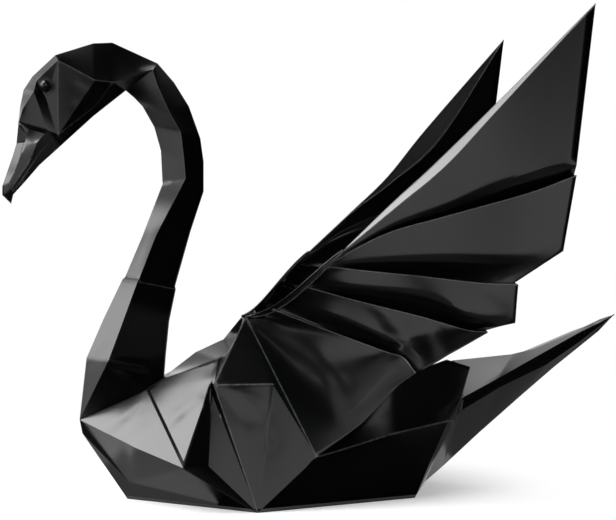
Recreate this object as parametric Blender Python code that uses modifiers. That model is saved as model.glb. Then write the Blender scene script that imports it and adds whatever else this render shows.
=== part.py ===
"""A swan folded from one sheet of black paper, with a glossy bead glued on each cheek as an eye.

The frame has +Z up, the swan looks along -X, and its left side is -Y. The origin is on the
table, under the middle of the flat base. Sizes are in millimetres until MM turns them to metres.

The sheet is described by its creases. Each crease is a row of points in side view, (x, z), and a
half width says how far it lies from the centre plane. The flat panels of paper run from crease to
crease. The left side is laid out, the right side is its mirror image apart from the wing's hem,
and the paper then gets its thickness on the inside.
"""

from math import cos, pi, radians, sin

import bmesh
import bpy
from mathutils import Vector

MM = 0.001
# Points closer than this are one point
WELD = 0.01

# Paper
PAPER_THICKNESS = 0.3
PAPER_COLOUR = (0.030, 0.031, 0.033, 1.0)
PAPER_ROUGHNESS = 0.42

# Half widths, from the centre plane to the left side
NECK_FOOT_HALF = 7.5
CRIMP_HALF = 5.0
NAPE_HALF = 6.0
CHEEK_HALF = 8.0
JAW_HALF = 4.5
BROW_HALF = 3.5
BEAK_ROOT_HALF = 2.5
BEAK_TIP_HALF = 1.0
NECK_SEAT_HALF = 5.5
NECK_SEAT_REAR_HALF = 3.5
BREAST_HALF = 13.0
FLAP_TIP_HALF = 27.0
FLANK_VALLEY_HALF = 20.0
SHOULDER_HALF = 14.5
SHOULDER_STEP_HALF = 12.0
BASE_FRONT_HALF = 30.5
BASE_REAR_HALF = 23.5
RUMP_HALF = 18.0
WING_SPREAD_HALF = 31.5
WING_FRONT_HALF = 2.5
TAIL_FOOT_HALF = 15.5
TAIL_TIP_HALF = 1.2

# Wing folds
PLEAT_DEPTH = 3.0
PLEAT_OVERLAP = 0.6
HEM_WIDTH = 8.5
LEFT_HEM_TILT = 7.0
RIGHT_HEM_TILT = -50.0

# Eyes
EYE_DIAMETER = 2.7
EYE_HEIGHT = 1.2
EYE_RIM = 0.3
EYE_SEAT_GAP = 0.25
EYE_SEAT_SHARES = (0.18, 0.31, 0.51)
EYE_SIDES = 20
EYE_RINGS = 6
EYE_COLOUR = (0.006, 0.006, 0.007, 1.0)
EYE_ROUGHNESS = 0.08

# Side view of the neck: its back crease, side ridge and front crease, from its foot to the nape
NECK_BACK = (
    (-30.5, 42.5), (-29.5, 52.5), (-27.5, 62.0), (-23.0, 79.5), (-19.0, 91.5),
    (-19.0, 100.5), (-20.0, 107.5), (-23.5, 117.0), (-28.0, 124.0), (-33.0, 129.5),
)
NECK_RIDGE = (
    (-48.5, 42.0), (-44.5, 52.5), (-40.0, 64.5), (-34.5, 78.0), (-25.5, 95.0),
    (-26.0, 100.5), (-27.0, 108.5), (-30.5, 114.5), (-34.0, 122.0), (-35.5, 126.5),
)
NECK_FRONT = (
    (-54.0, 42.0), (-49.0, 53.5), (-43.5, 65.0), (-37.5, 78.0), (-31.5, 93.5),
    (-32.0, 103.5), (-34.0, 110.5), (-37.5, 116.5), (-40.0, 119.0), (-42.5, 121.0),
)
CRIMP_POINT = 4
NECK_BACK_FOOT = (-31.0, 36.0)
NECK_SEAT_MIDDLE = (-43.0, 30.0)
NECK_SEAT_REAR = (-37.0, 32.5)
BOW = (-56.0, 24.0)

# Side view of the head: centre creases over the crown and under the chin, and side points
CROWN_REAR = (-46.5, 135.0)
CROWN_TOP = (-52.0, 134.5)
CROWN_FRONT = (-63.0, 130.5)
FOREHEAD = ((-69.5, 124.0), (-72.0, 120.0), (-73.0, 115.0), (-73.5, 110.0))
BROW = (-62.5, 128.5)
TEMPLE = (-47.0, 122.5)
CHEEK = (-52.5, 122.5)
JAW = (-52.0, 115.5)
CHIN_REAR = (-51.5, 114.0)
CHIN_FRONT = (-61.5, 105.5)
MOUTH_CORNER = (-62.5, 107.0)
LORE_TOP = (-68.5, 122.5)
LORE_EDGE = ((-69.5, 119.0), (-72.5, 114.0), (-73.5, 110.5))
LORE_HALVES = (3.5, 2.5, 2.0)
EYE_FOLD = (-66.0, 117.5)
EYE_FOLD_HALF = 5.0
GAPE = (-65.5, 108.0)

# Side view of the beak
BILL_TOP = ((-74.0, 104.5), (-74.5, 101.5), (-78.0, 92.0))
BILL_EDGE = ((-71.0, 107.5), (-72.0, 103.5), (-76.5, 93.0))
BILL_MIDDLE_SHARE = 0.33
BILL_NAIL = (-78.0, 89.5)
BILL_HOOK = (-75.5, 87.0)
LIP_FRONT = (-75.5, 92.0)
LOWER_BILL_FRONT = (-75.0, 90.5)
LOWER_BILL_KEEL = ((-67.5, 100.0), (-72.5, 93.5), (-75.0, 89.5))

# Side view of the hull
BASE_FRONT_X = -42.0
BASE_CORNER_X = -10.0
BASE_REAR_CORNER_X = 40.0
BASE_REAR_X = 53.0
STEM = (-42.0, 5.5)
STEM_HALF = 3.0
BREAST = (-41.5, 17.5)
FLAP_TIP = (-30.5, 13.0)
FLANK_VALLEY = (-24.5, 13.5)
DECK_EDGE = ((-16.5, 41.5), (-12.5, 43.5))
DECK_EDGE_HALVES = (9.0, 7.0)
DECK_RIDGE = ((-21.5, 43.0), (-13.5, 46.5), (-9.0, 47.5), (-6.5, 53.0))
SHOULDER_SHARE = 0.21
SHOULDER = (-19.0, 34.5)
SHOULDER_STEP = (-19.5, 33.0)
WING_FRONT = (-6.5, 53.5)
WING_BOTTOM = (7.0, 15.0)
PANEL_DIMPLE = (-2.0, 34.5)
PANEL_DIMPLE_HALF = 17.0

# Side view of the hull's rear: rim, soft fold and crisp fold, each with its half widths
REAR_RIM = ((17.0, 24.5), (33.0, 35.0), (52.5, 40.5), (60.5, 38.0))
REAR_RIM_HALVES = (22.0, 21.0, 18.5, 18.0)
REAR_SOFT_FOLD = ((17.0, 18.0), (33.0, 22.5), (51.5, 24.0), (57.0, 27.5))
REAR_SOFT_HALVES = (28.0, 25.0, 21.0, 18.5)
REAR_CRISP_FOLD = ((17.0, 16.8), (32.5, 20.0), (52.0, 22.0))
REAR_CRISP_HALVES = (29.3, 26.5, 20.5)
RUMP = (55.0, 21.5)

# Side view of the wing, each crease from the leading edge back to the trailing edge
WING_TIP = (96.0, 149.0)
LEADING_CREASE = ((19.5, 73.5), (35.5, 87.0), (49.5, 99.0), (65.0, 116.0), WING_TIP)
LEADING_ROOT_HALF = 17.5
# Each pleat has a soft upper fold and a crisp lower fold
FIRST_SOFT_FOLD = ((17.2, 71.5), (31.5, 80.0), (49.5, 86.0), (67.0, 93.0), (89.5, 99.5))
FIRST_CRISP_FOLD = ((16.0, 70.0), (31.5, 78.5), (50.0, 84.0), (75.0, 91.0), (89.5, 96.5))
SECOND_SOFT_FOLD = ((15.5, 69.7), (30.0, 70.5), (48.0, 71.0), (71.5, 71.0), (85.0, 73.5))
SECOND_CRISP_FOLD = ((14.0, 69.0), (27.0, 67.5), (41.5, 66.0), (59.0, 64.0), (70.0, 63.5))
THIRD_SOFT_FOLD = ((10.0, 64.5), (22.5, 62.0), (44.0, 59.5), (55.0, 53.0), (69.0, 52.0))
THIRD_CRISP_FOLD = ((8.5, 63.0), (22.5, 59.0), (42.0, 54.0), (55.0, 50.0), (60.0, 49.5))
LAST_SOFT_FOLD = ((2.5, 57.5), (16.0, 53.5), (33.5, 46.0), (36.5, 43.5), (38.5, 38.5))
LAST_CRISP_FOLD = ((0.0, 56.0), (16.5, 49.5), (32.0, 43.5), (35.5, 42.0), (37.0, 38.0))
PLEAT_SOFT_FOLDS = (FIRST_SOFT_FOLD, SECOND_SOFT_FOLD, THIRD_SOFT_FOLD, LAST_SOFT_FOLD)
PLEAT_CRISP_FOLDS = (FIRST_CRISP_FOLD, SECOND_CRISP_FOLD, THIRD_CRISP_FOLD, LAST_CRISP_FOLD)
PLEAT_ROOT_HALVES = (17.0, 16.6, 13.7, 9.5)
PLEAT_SHARES = (0.0, 0.4, 0.75, 1.0, 1.0)
# At its root the valley lies this share of the way from the crisp fold to the soft one
VALLEY_ROOT_SHARE = 0.4
# Soft folds below the last pleat
UPPER_DENT = ((-2.5, 54.5), (8.0, 46.5), (18.5, 39.0), (25.5, 34.0), (32.0, 35.0))
LOWER_DENT = ((-4.5, 54.0), (3.5, 42.0), (10.5, 32.5), (16.0, 25.5), (20.5, 24.0))
DENT_ROOT_HALVES = (5.0, 4.0)
HEM_SHARES = (0.4, 1.0, 1.0, 0.9, 0.0)

# Side view of the tail: ridge, rim, lower rim and keel from the hull back to the tip
TAIL_TIP = (121.5, 52.5)
TAIL_RIDGE = ((62.5, 38.5), (83.5, 40.0), (91.0, 41.5), (106.5, 47.0), (116.0, 51.0))
TAIL_RIM = ((59.5, 28.0), (74.0, 33.5), (90.0, 40.0), (107.0, 47.0), (116.0, 50.2))
TAIL_LOWER_RIM = ((58.0, 24.0), (73.5, 30.5), (92.5, 37.0), (107.0, 44.0), (115.5, 49.0))
TAIL_KEEL = ((59.0, 4.5), (72.0, 15.0), (87.0, 26.5), (99.0, 35.5), (115.5, 47.0))
TAIL_SHARES = (0.0, 0.3, 0.6, 0.87, 1.0)
TAIL_RIM_INSET = 0.9


def point(side_view, half_width=0.0):
    """A point on the swan's left, from its place in side view and its half width."""
    x, z = side_view
    return Vector((x, -half_width, z))


def between(first, last, share):
    return first + (last - first) * share


def panels(upper, lower):
    """The panels between two creases that run the same way, seen from the left: upper and lower."""
    faces = []
    for i in range(len(upper) - 1):
        faces.append([upper[i], lower[i], lower[i + 1], upper[i + 1]])
    return faces


def neck_half_width(i):
    """Half width at point i of the ridge: the neck narrows to the crimp, then widens to the nape."""
    if i <= CRIMP_POINT:
        return between(NECK_FOOT_HALF, CRIMP_HALF, i / CRIMP_POINT)
    last = len(NECK_RIDGE) - 1
    return between(CRIMP_HALF, NAPE_HALF, (i - CRIMP_POINT) / (last - CRIMP_POINT))


def neck_creases():
    """Back crease, side ridge and front crease of the neck, from its foot up."""
    back = [point(place) for place in NECK_BACK]
    side = [point(place, neck_half_width(i)) for i, place in enumerate(NECK_RIDGE)]
    front = [point(place) for place in NECK_FRONT]
    return back, side, front


def neck_seat():
    """The line where the neck comes out of the breast, from the bow to the back of the neck."""
    middle = point(NECK_SEAT_MIDDLE, NECK_SEAT_HALF)
    rear = point(NECK_SEAT_REAR, NECK_SEAT_REAR_HALF)
    return point(BOW), middle, rear, point(NECK_BACK_FOOT)


def neck_faces():
    back, side, front = neck_creases()
    bow, middle, rear, foot = neck_seat()
    faces = [[foot, back[0], side[0], rear], [rear, side[0], middle], [middle, side[0], bow]]
    faces.append([side[0], front[0], bow])
    for i in range(len(side) - 1):
        faces.append([back[i], back[i + 1], side[i + 1], side[i]])
        faces.append([side[i], side[i + 1], front[i + 1], front[i]])
    return faces


def head_faces():
    back, side, front = neck_creases()
    crown_rear = point(CROWN_REAR)
    crown_top = point(CROWN_TOP)
    crown_front = point(CROWN_FRONT)
    temple = point(TEMPLE, NAPE_HALF)
    cheek = point(CHEEK, CHEEK_HALF)
    jaw = point(JAW, JAW_HALF)
    brow = point(BROW, BROW_HALF)
    chin_rear = point(CHIN_REAR)
    chin_front = point(CHIN_FRONT)
    corner = point(MOUTH_CORNER, JAW_HALF)
    lore_top = point(LORE_TOP, BEAK_ROOT_HALF)
    lore = [point(place, half) for place, half in zip(LORE_EDGE, LORE_HALVES)]
    fold = point(EYE_FOLD, EYE_FOLD_HALF)
    gape = point(GAPE, BROW_HALF)
    forehead = [point(place) for place in FOREHEAD]
    return [
        [back[-1], crown_rear, temple, side[-1]],
        [side[-1], temple, front[-1]],
        [crown_rear, crown_top, cheek, temple],
        [crown_top, crown_front, brow, cheek],
        [temple, cheek, jaw],
        [cheek, brow, corner],
        [cheek, corner, jaw],
        [front[-1], temple, jaw, chin_rear],
        [chin_rear, jaw, corner, chin_front],
        [crown_front, forehead[0], lore_top, brow],
        [forehead[0], forehead[1], lore[0], lore_top],
        [forehead[1], forehead[2], lore[1], lore[0]],
        [forehead[2], forehead[3], lore[2], lore[1]],
        [brow, lore_top, fold],
        [brow, fold, corner],
        [lore_top, lore[0], fold],
        [lore[0], gape, corner, fold],
        [lore[0], lore[1], lore[2], gape],
    ]


def beak_faces():
    root = point(LORE_EDGE[-1], LORE_HALVES[-1])
    gape = point(GAPE, BROW_HALF)
    corner = point(MOUTH_CORNER, JAW_HALF)
    chin_front = point(CHIN_FRONT)
    top = [point(place) for place in BILL_TOP]
    edge = [
        point(BILL_EDGE[0], BEAK_ROOT_HALF),
        point(BILL_EDGE[1], between(BEAK_ROOT_HALF, BEAK_TIP_HALF, BILL_MIDDLE_SHARE)),
        point(BILL_EDGE[2], BEAK_TIP_HALF),
    ]
    nail = point(BILL_NAIL)
    hook = point(BILL_HOOK)
    lip = point(LIP_FRONT, BEAK_TIP_HALF)
    lower_front = point(LOWER_BILL_FRONT, BEAK_TIP_HALF)
    keel = [point(place) for place in LOWER_BILL_KEEL]
    return [
        [point(FOREHEAD[-1]), top[0], edge[0], root],
        [top[0], top[1], edge[1], edge[0]],
        [top[1], top[2], edge[2], edge[1]],
        [root, edge[0], gape],
        [edge[0], edge[1], edge[2], lip, gape],
        [gape, lip, lower_front, corner],
        [corner, lower_front, keel[2], keel[1], keel[0], chin_front],
        [top[2], nail, hook, lip, edge[2]],
        [lip, hook, lower_front],
        [lower_front, hook, keel[2]],
    ]


def base_corners():
    front = point((BASE_FRONT_X, 0))
    corner = point((BASE_CORNER_X, 0), BASE_FRONT_HALF)
    rear_corner = point((BASE_REAR_CORNER_X, 0), BASE_REAR_HALF)
    rear = point((BASE_REAR_X, 0))
    return front, corner, rear_corner, rear


def deck_edge():
    """The edge where the deck meets the breast flap and the shoulder."""
    return [point(place, half) for place, half in zip(DECK_EDGE, DECK_EDGE_HALVES)]


def shoulder_root():
    """The point on the flap's rear edge where the shoulder folds come together."""
    return deck_edge()[0].lerp(point(FLAP_TIP, FLAP_TIP_HALF), SHOULDER_SHARE)


def breast_faces():
    bow, middle, seat_rear, foot = neck_seat()
    front, corner, _, _ = base_corners()
    breast = point(BREAST, BREAST_HALF)
    stem = point(STEM, STEM_HALF)
    flap = point(FLAP_TIP, FLAP_TIP_HALF)
    valley = point(FLANK_VALLEY, FLANK_VALLEY_HALF)
    edge = deck_edge()
    inner = shoulder_root()
    return [
        [bow, front, stem],
        [bow, stem, breast],
        [breast, stem, flap],
        [flap, corner, valley],
        [flap, stem, corner],
        [stem, front, corner],
        [bow, breast, middle],
        [middle, breast, flap, seat_rear],
        [seat_rear, flap, inner, edge[0], foot],
        [inner, flap, valley],
    ]


def deck_faces():
    ridge = [point(place) for place in DECK_RIDGE]
    edge = deck_edge()
    wing_front = point(WING_FRONT, WING_FRONT_HALF)
    return [
        [point(NECK_BACK_FOOT), edge[0], ridge[0]],
        [ridge[0], edge[0], edge[1], ridge[1]],
        [ridge[1], edge[1], ridge[2]],
        [ridge[2], edge[1], wing_front, ridge[3]],
    ]


def side_panel_faces():
    """The shoulder, and the big side panel under the wing."""
    edge = deck_edge()
    wing_front = point(WING_FRONT, WING_FRONT_HALF)
    inner = shoulder_root()
    shoulder = point(SHOULDER, SHOULDER_HALF)
    step = point(SHOULDER_STEP, SHOULDER_STEP_HALF)
    valley = point(FLANK_VALLEY, FLANK_VALLEY_HALF)
    dimple = point(PANEL_DIMPLE, PANEL_DIMPLE_HALF)
    corner = base_corners()[1]
    seam = wing_seam()
    return [
        [edge[1], edge[0], shoulder, wing_front],
        [edge[0], inner, shoulder],
        [inner, step, shoulder],
        [inner, valley, step],
        [step, corner, shoulder],
        [valley, corner, step],
        [shoulder, dimple, seam[0]],
        [seam[0], dimple, seam[2], seam[1]],
        [seam[2], dimple, seam[4], seam[3]],
        [shoulder, corner, dimple],
        [dimple, corner, seam[4]],
    ]


def rear_crease(places, halves):
    """A crease of the hull's rear: it starts at the wing's bottom corner."""
    bottom = point(WING_BOTTOM, WING_SPREAD_HALF)
    return [bottom] + [point(place, half) for place, half in zip(places, halves)]


def rear_hull_faces():
    _, corner, rear_corner, rear = base_corners()
    rim = rear_crease(REAR_RIM, REAR_RIM_HALVES)
    soft = rear_crease(REAR_SOFT_FOLD, REAR_SOFT_HALVES)
    rump = point(RUMP, RUMP_HALF)
    crisp = rear_crease(REAR_CRISP_FOLD, REAR_CRISP_HALVES) + [rump]
    bottom = crisp[0]
    faces = panels(rim, soft) + panels(soft, crisp)
    faces += [
        [bottom, corner, crisp[1]],
        [crisp[1], corner, crisp[2]],
        [crisp[2], corner, rear_corner],
        [crisp[3], crisp[2], rear_corner],
        [crisp[3], rear_corner, rump],
        [rear_corner, rear, rump],
    ]
    return faces


def tail_faces():
    tip = point(TAIL_TIP)
    halves = [between(TAIL_FOOT_HALF, TAIL_TIP_HALF, share) for share in TAIL_SHARES]
    ridge = [point(place) for place in TAIL_RIDGE]
    rim = [point(place, half * TAIL_RIM_INSET) for place, half in zip(TAIL_RIM, halves)]
    lower = [point(place, half) for place, half in zip(TAIL_LOWER_RIM, halves)]
    base_rear = base_corners()[3]
    keel = [point(place) for place in TAIL_KEEL]
    faces = panels(ridge, rim) + panels(rim, lower) + panels(lower, keel)
    faces += [
        [point(RUMP, RUMP_HALF), base_rear, keel[0]],
        [point(RUMP, RUMP_HALF), keel[0], lower[0]],
        [ridge[-1], rim[-1], tip],
        [rim[-1], lower[-1], tip],
        [lower[-1], keel[-1], tip],
    ]
    return faces


def wing_crease(places, root_half):
    """A crease of the wing: its half width grows evenly from the root to the trailing edge."""
    last = len(places) - 1
    return [
        point(place, between(root_half, WING_SPREAD_HALF, i / last))
        for i, place in enumerate(places)
    ]


def wing_seam():
    """The line where the wing joins the side panel, with the same number of points as a crease."""
    top = point(WING_FRONT, WING_FRONT_HALF)
    bottom = point(WING_BOTTOM, WING_SPREAD_HALF)
    last = len(LEADING_CREASE) - 1
    return [top.lerp(bottom, i / last) for i in range(last + 1)]


def wing_rows():
    """Every crease of the wing from the leading edge down, with each pleat's hidden valley."""
    rows = [wing_crease(LEADING_CREASE, LEADING_ROOT_HALF)]
    for root_half, soft, crisp in zip(PLEAT_ROOT_HALVES, PLEAT_SOFT_FOLDS, PLEAT_CRISP_FOLDS):
        rows.append(wing_crease(soft, root_half))
        ridge = wing_crease(crisp, root_half)
        tuck = Vector((0, PLEAT_DEPTH, PLEAT_OVERLAP))
        valley = [place + tuck * share for place, share in zip(ridge, PLEAT_SHARES)]
        valley[0] = ridge[0].lerp(rows[-1][0], VALLEY_ROOT_SHARE)
        rows += [valley, ridge]
    for root_half, dent in zip(DENT_ROOT_HALVES, (UPPER_DENT, LOWER_DENT)):
        rows.append(wing_crease(dent, root_half))
    rows.append(wing_seam())
    return rows


def wing_faces():
    rows = wing_rows()
    faces = []
    for upper, lower in zip(rows, rows[1:]):
        faces += panels(upper, lower)
    return faces


def hem_faces(tilt):
    """The hem along the leading edge: it leans inwards, tilted up from square to the centre plane."""
    crease = wing_rows()[0]
    along = (crease[-1] - crease[0]).normalized()
    outward = Vector((-along.z, 0, along.x)).normalized()
    lean = Vector((0, cos(radians(tilt)), 0)) + outward * sin(radians(tilt))
    edge = [place + lean * (HEM_WIDTH * share) for place, share in zip(crease, HEM_SHARES)]
    return panels(edge, crease)


def base_faces():
    front, corner, rear_corner, rear = base_corners()
    return [[rear, rear_corner, corner, front]]


def half_sheet(hem_tilt):
    """The panels of the swan's left half, each listed counterclockwise as seen from outside."""
    faces = neck_faces() + head_faces() + beak_faces()
    faces += breast_faces() + deck_faces() + side_panel_faces()
    faces += rear_hull_faces() + tail_faces() + wing_faces()
    return faces + hem_faces(hem_tilt) + base_faces()


def mirrored(faces):
    """The same panels on the right side, turned round so that they still face outwards."""
    return [[Vector((p.x, -p.y, p.z)) for p in reversed(face)] for face in faces]


def add_panels(mesh, faces):
    """Adds panels to the mesh, leaving out corners that fall together."""
    for face in faces:
        corners = []
        for place in face:
            if not corners or (place - corners[-1]).length > 1e-6:
                corners.append(place)
        if (corners[0] - corners[-1]).length < 1e-6:
            corners.pop()
        if len(corners) > 2:
            mesh.faces.new([mesh.verts.new(place * MM) for place in corners])


def paper_material():
    material = bpy.data.materials.new("black_paper")
    material.use_nodes = True
    shader = material.node_tree.nodes["Principled BSDF"]
    shader.inputs["Base Color"].default_value = PAPER_COLOUR
    shader.inputs["Roughness"].default_value = PAPER_ROUGHNESS
    return material


def eye_material():
    material = bpy.data.materials.new("black_bead")
    material.use_nodes = True
    shader = material.node_tree.nodes["Principled BSDF"]
    shader.inputs["Base Color"].default_value = EYE_COLOUR
    shader.inputs["Roughness"].default_value = EYE_ROUGHNESS
    return material


def folded_sheet(collection):
    sheet = bmesh.new()
    add_panels(sheet, half_sheet(LEFT_HEM_TILT))
    add_panels(sheet, mirrored(half_sheet(RIGHT_HEM_TILT)))
    bmesh.ops.remove_doubles(sheet, verts=sheet.verts, dist=WELD * MM)
    bmesh.ops.triangulate(sheet, faces=[face for face in sheet.faces if len(face.verts) > 3])
    data = bpy.data.meshes.new("folded_sheet")
    sheet.to_mesh(data)
    sheet.free()
    swan = bpy.data.objects.new("folded_sheet", data)
    collection.objects.link(swan)
    paper = swan.modifiers.new("paper thickness", "SOLIDIFY")
    paper.thickness = PAPER_THICKNESS * MM
    paper.offset = -1
    paper.use_even_offset = True
    paper.use_quality_normals = True
    data.materials.append(paper_material())
    return swan


def eye_seat():
    """Centre and outward direction of the bead's seat, on the panel between brow, lore and fold."""
    brow = point(BROW, BROW_HALF)
    lore = point(LORE_TOP, BEAK_ROOT_HALF)
    fold = point(EYE_FOLD, EYE_FOLD_HALF)
    centre = Vector()
    for corner, share in zip((brow, lore, fold), EYE_SEAT_SHARES):
        centre += corner * share
    outward = (lore - brow).cross(fold - brow).normalized()
    return centre + outward * EYE_SEAT_GAP, outward


def eye(name, collection, material, side):
    """A domed bead with a flat back. side is 1 for the swan's left and -1 for its right."""
    radius = EYE_DIAMETER / 2
    profile = []
    for i in range(EYE_RINGS + 1):
        angle = pi / 2 * i / EYE_RINGS
        profile.append((radius * sin(angle), EYE_RIM + (EYE_HEIGHT - EYE_RIM) * cos(angle)))
    profile += [(radius, 0), (0, 0)]
    data = bpy.data.meshes.new(name)
    edges = [(i, i + 1) for i in range(len(profile) - 1)]
    data.from_pydata([(r * MM, 0, z * MM) for r, z in profile], edges, [])
    bead = bpy.data.objects.new(name, data)
    collection.objects.link(bead)
    turned = bead.modifiers.new("turned", "SCREW")
    turned.steps = EYE_SIDES
    turned.render_steps = EYE_SIDES
    turned.use_merge_vertices = True
    turned.merge_threshold = WELD * MM
    centre, outward = eye_seat()
    if side < 0:
        centre = Vector((centre.x, -centre.y, centre.z))
        outward = Vector((outward.x, -outward.y, outward.z))
    bead.location = centre * MM
    bead.rotation_mode = "QUATERNION"
    bead.rotation_quaternion = outward.to_track_quat("Z", "Y")
    data.materials.append(material)
    return bead


def main():
    for old in list(bpy.data.objects):
        bpy.data.objects.remove(old)
    collection = bpy.data.collections.new("origami_swan")
    bpy.context.scene.collection.children.link(collection)
    folded_sheet(collection)
    bead = eye_material()
    eye("left_eye", collection, bead, 1)
    eye("right_eye", collection, bead, -1)


main()
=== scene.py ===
"""The looks of a swan folded from one sheet of black satin paper, with a glossy bead for each eye.

Places are in millimetres in the swan's own frame: X runs from the beak to the tail, -Y is the
swan's left and Z is up. The sheet is worked out as grids between its creases, welded where they
meet, rounded along its soft folds, pressed with its dents and wrinkles, and given its thickness.
"""

from __future__ import annotations

import logging
from dataclasses import dataclass, field, replace
from enum import Enum
from math import cos, radians, sin

import bpy
import numpy as np
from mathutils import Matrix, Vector


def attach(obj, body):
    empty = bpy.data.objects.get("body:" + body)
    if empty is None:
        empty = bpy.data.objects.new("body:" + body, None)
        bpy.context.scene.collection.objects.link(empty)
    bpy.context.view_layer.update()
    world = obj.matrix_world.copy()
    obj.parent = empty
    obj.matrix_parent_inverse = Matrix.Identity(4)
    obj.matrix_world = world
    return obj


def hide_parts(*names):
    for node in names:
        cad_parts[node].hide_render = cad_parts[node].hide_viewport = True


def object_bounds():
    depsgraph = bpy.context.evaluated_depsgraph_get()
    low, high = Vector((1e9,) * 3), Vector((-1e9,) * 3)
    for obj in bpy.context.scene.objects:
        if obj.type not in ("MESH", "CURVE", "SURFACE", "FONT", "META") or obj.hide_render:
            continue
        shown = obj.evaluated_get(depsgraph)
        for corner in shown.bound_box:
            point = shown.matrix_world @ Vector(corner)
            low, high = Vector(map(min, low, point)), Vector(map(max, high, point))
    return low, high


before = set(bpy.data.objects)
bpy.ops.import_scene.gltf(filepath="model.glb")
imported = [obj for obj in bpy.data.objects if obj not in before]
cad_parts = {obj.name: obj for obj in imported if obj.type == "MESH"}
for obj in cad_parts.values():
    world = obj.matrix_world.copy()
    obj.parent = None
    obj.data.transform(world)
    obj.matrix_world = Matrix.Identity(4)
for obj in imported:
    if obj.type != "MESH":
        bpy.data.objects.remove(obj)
CAD_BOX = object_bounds()

LOG = logging.getLogger("origami_swan")

MM = 0.001

# Places and grids of places, in millimetres
Place = tuple[float, float, float]
SideView = tuple[float, float]
Grid = np.ndarray

# A panel of the sheet: three or four corners, counterclockwise seen from outside on the left
Panel = tuple[np.ndarray, ...]

# Length of a mesh edge on the body, on the head and along the plain foot
SPACING = 1.25
HEAD_SPACING = 0.8
FOOT_SPACING = 2.0
# The head lies before HEAD_REACH and above HEAD_HEIGHT, and the foot lies below FOOT_HEIGHT
HEAD_REACH, HEAD_HEIGHT, FOOT_HEIGHT = -45.0, 85.0, 11.0
# Points that fall in one cell of this width are one point. The cells are shifted by an odd share
# of their width, so that round places don't lie on their borders.
WELD = 0.002
WELD_SHIFT = 0.37
# The share of the way to its neighbours' mean that a soft point moves in one round
RELAX_STEP = 0.5
# A mark presses where the paper faces its way: above this cosine, blending in over this span
MARK_COSINE, MARK_BLEND = 0.3, 0.4
# How rough every noise is, from one octave to the next
NOISE_ROUGHNESS = 0.55
# Faces that meet at more than this many degrees are shaded with a hard edge
HARD_ANGLE = 24.0
# The smallest number that is divided by
TINY = 1e-9
# What the camera and most lamps look at, in metres
PIVOT = (0.01395, 0.0, 0.0708)


class Side(Enum):
    """The two halves of the swan, by the sign that turns the left half's Y into their own."""

    LEFT = 1
    RIGHT = -1


class Press(Enum):
    """The section of a mark pressed into the paper: a trough, or a step with two lips."""

    TROUGH = "trough"
    STEP = "step"


def at(side_view: SideView, half: float = 0.0) -> Grid:
    """A place on the left side from its side view (x, z) and its distance from the middle."""
    return np.array((side_view[0], -half, side_view[1]))


def line(places: tuple[SideView, ...], halves: tuple[float, ...] | None = None) -> Grid:
    """A crease as an array of places. Halves default to the centre plane."""
    wide = halves if halves is not None else (0.0,) * len(places)
    return np.array([at(place, half) for place, half in zip(places, wide)])


def unit(vector: Grid) -> Grid:
    """The vector divided by its length."""
    return vector / np.linalg.norm(vector)


def mirrored(place: Place) -> Place:
    """The same place on the other side of the swan."""
    return (place[0], -place[1], place[2])


def steps_along(first: Grid, last: Grid) -> int:
    """How many mesh edges fit between two places, the same from either end.

    Args:
        first: One place.
        last: The other place.

    Returns:
        The distance over the spacing of the part of the swan that they are on, at least 1.
    """
    middle = (first + last) / 2
    spacing = SPACING
    if middle[0] < HEAD_REACH and middle[2] > HEAD_HEIGHT:
        spacing = HEAD_SPACING
    elif middle[2] < FOOT_HEIGHT:
        spacing = FOOT_SPACING
    return max(1, int(round(float(np.linalg.norm(last - first)) / spacing)))


def snapped(share: Grid, steps: int) -> Grid:
    """Shares from 0 to 1 moved to the nearest step, so that both panels at a crease agree."""
    return np.round(share * steps) / steps


def smooth_line(points: Grid, shares: Grid) -> Grid:
    """A Catmull-Rom curve through evenly numbered points.

    Each span is the cubic with slope half the difference of its neighbours at both ends.

    Args:
        points: The points that the curve passes through, one a row.
        shares: Where to read the curve, from 0 at its first point to 1 at its last.

    Returns:
        One row for each share.
    """
    spans = len(points) - 1
    padded = np.vstack([2 * points[0] - points[1], points, 2 * points[-1] - points[-2]])
    where = np.clip(shares * spans, 0, spans)
    span = np.minimum(where.astype(int), spans - 1)
    t = (where - span)[:, None]
    p0, p1, p2, p3 = (padded[span + k] for k in range(4))
    cubic = (2 * p1 + (p2 - p0) * t + (2 * p0 - 5 * p1 + 4 * p2 - p3) * t**2
             + (3 * p1 - 3 * p2 + p3 - p0) * t**3)
    return cubic / 2


def distance_to(points: Grid, path: Grid) -> Grid:
    """The shortest distance from each point to a path of straight runs.

    For each run the point's share along it is held between 0 and 1.

    Args:
        points: The points, one a row.
        path: The places that the path runs through.

    Returns:
        One distance for each point.
    """
    best = np.full(len(points), np.inf)
    for first, last in zip(path[:-1], path[1:]):
        run = last - first
        share = np.clip((points - first) @ run / max(float(run @ run), TINY), 0, 1)
        best = np.minimum(best, np.linalg.norm(points - first - share[:, None] * run, axis=1))
    return best


def smoothstep(value: Grid) -> Grid:
    """0 below 0, 1 above 1, and the cubic 3v^2 - 2v^3 between."""
    v = np.clip(value, 0, 1)
    return v * v * (3 - 2 * v)


@dataclass(frozen=True)
class Crease:
    """A fold line of the sheet.

    rounding is how far from the line a soft fold is rounded, in mm, and 0 on a crisp fold.
    wear_and_highlight is how strongly a pale line is painted along the ridge, from 0 to 1: partly
    worn paper, partly painted highlight where the ridge catches the light.
    """

    path: Grid
    rounding: float = 0.0
    # Strength of the pale line painted along this fold: partly worn paper, partly painted highlight
    # where the ridge catches the light
    wear_and_highlight: float = 0.0


@dataclass(frozen=True)
class Mark:
    """A dent or a wrinkle: a section carried along a straight run on the paper's face.

    Its width and height are in mm. It presses where the paper faces its way, and fades at the
    crisp folds unless it goes over them.
    """

    start: Place
    end: Place
    width: float
    height: float
    facing: Place
    press: Press = Press.TROUGH
    over_folds: bool = False


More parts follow.
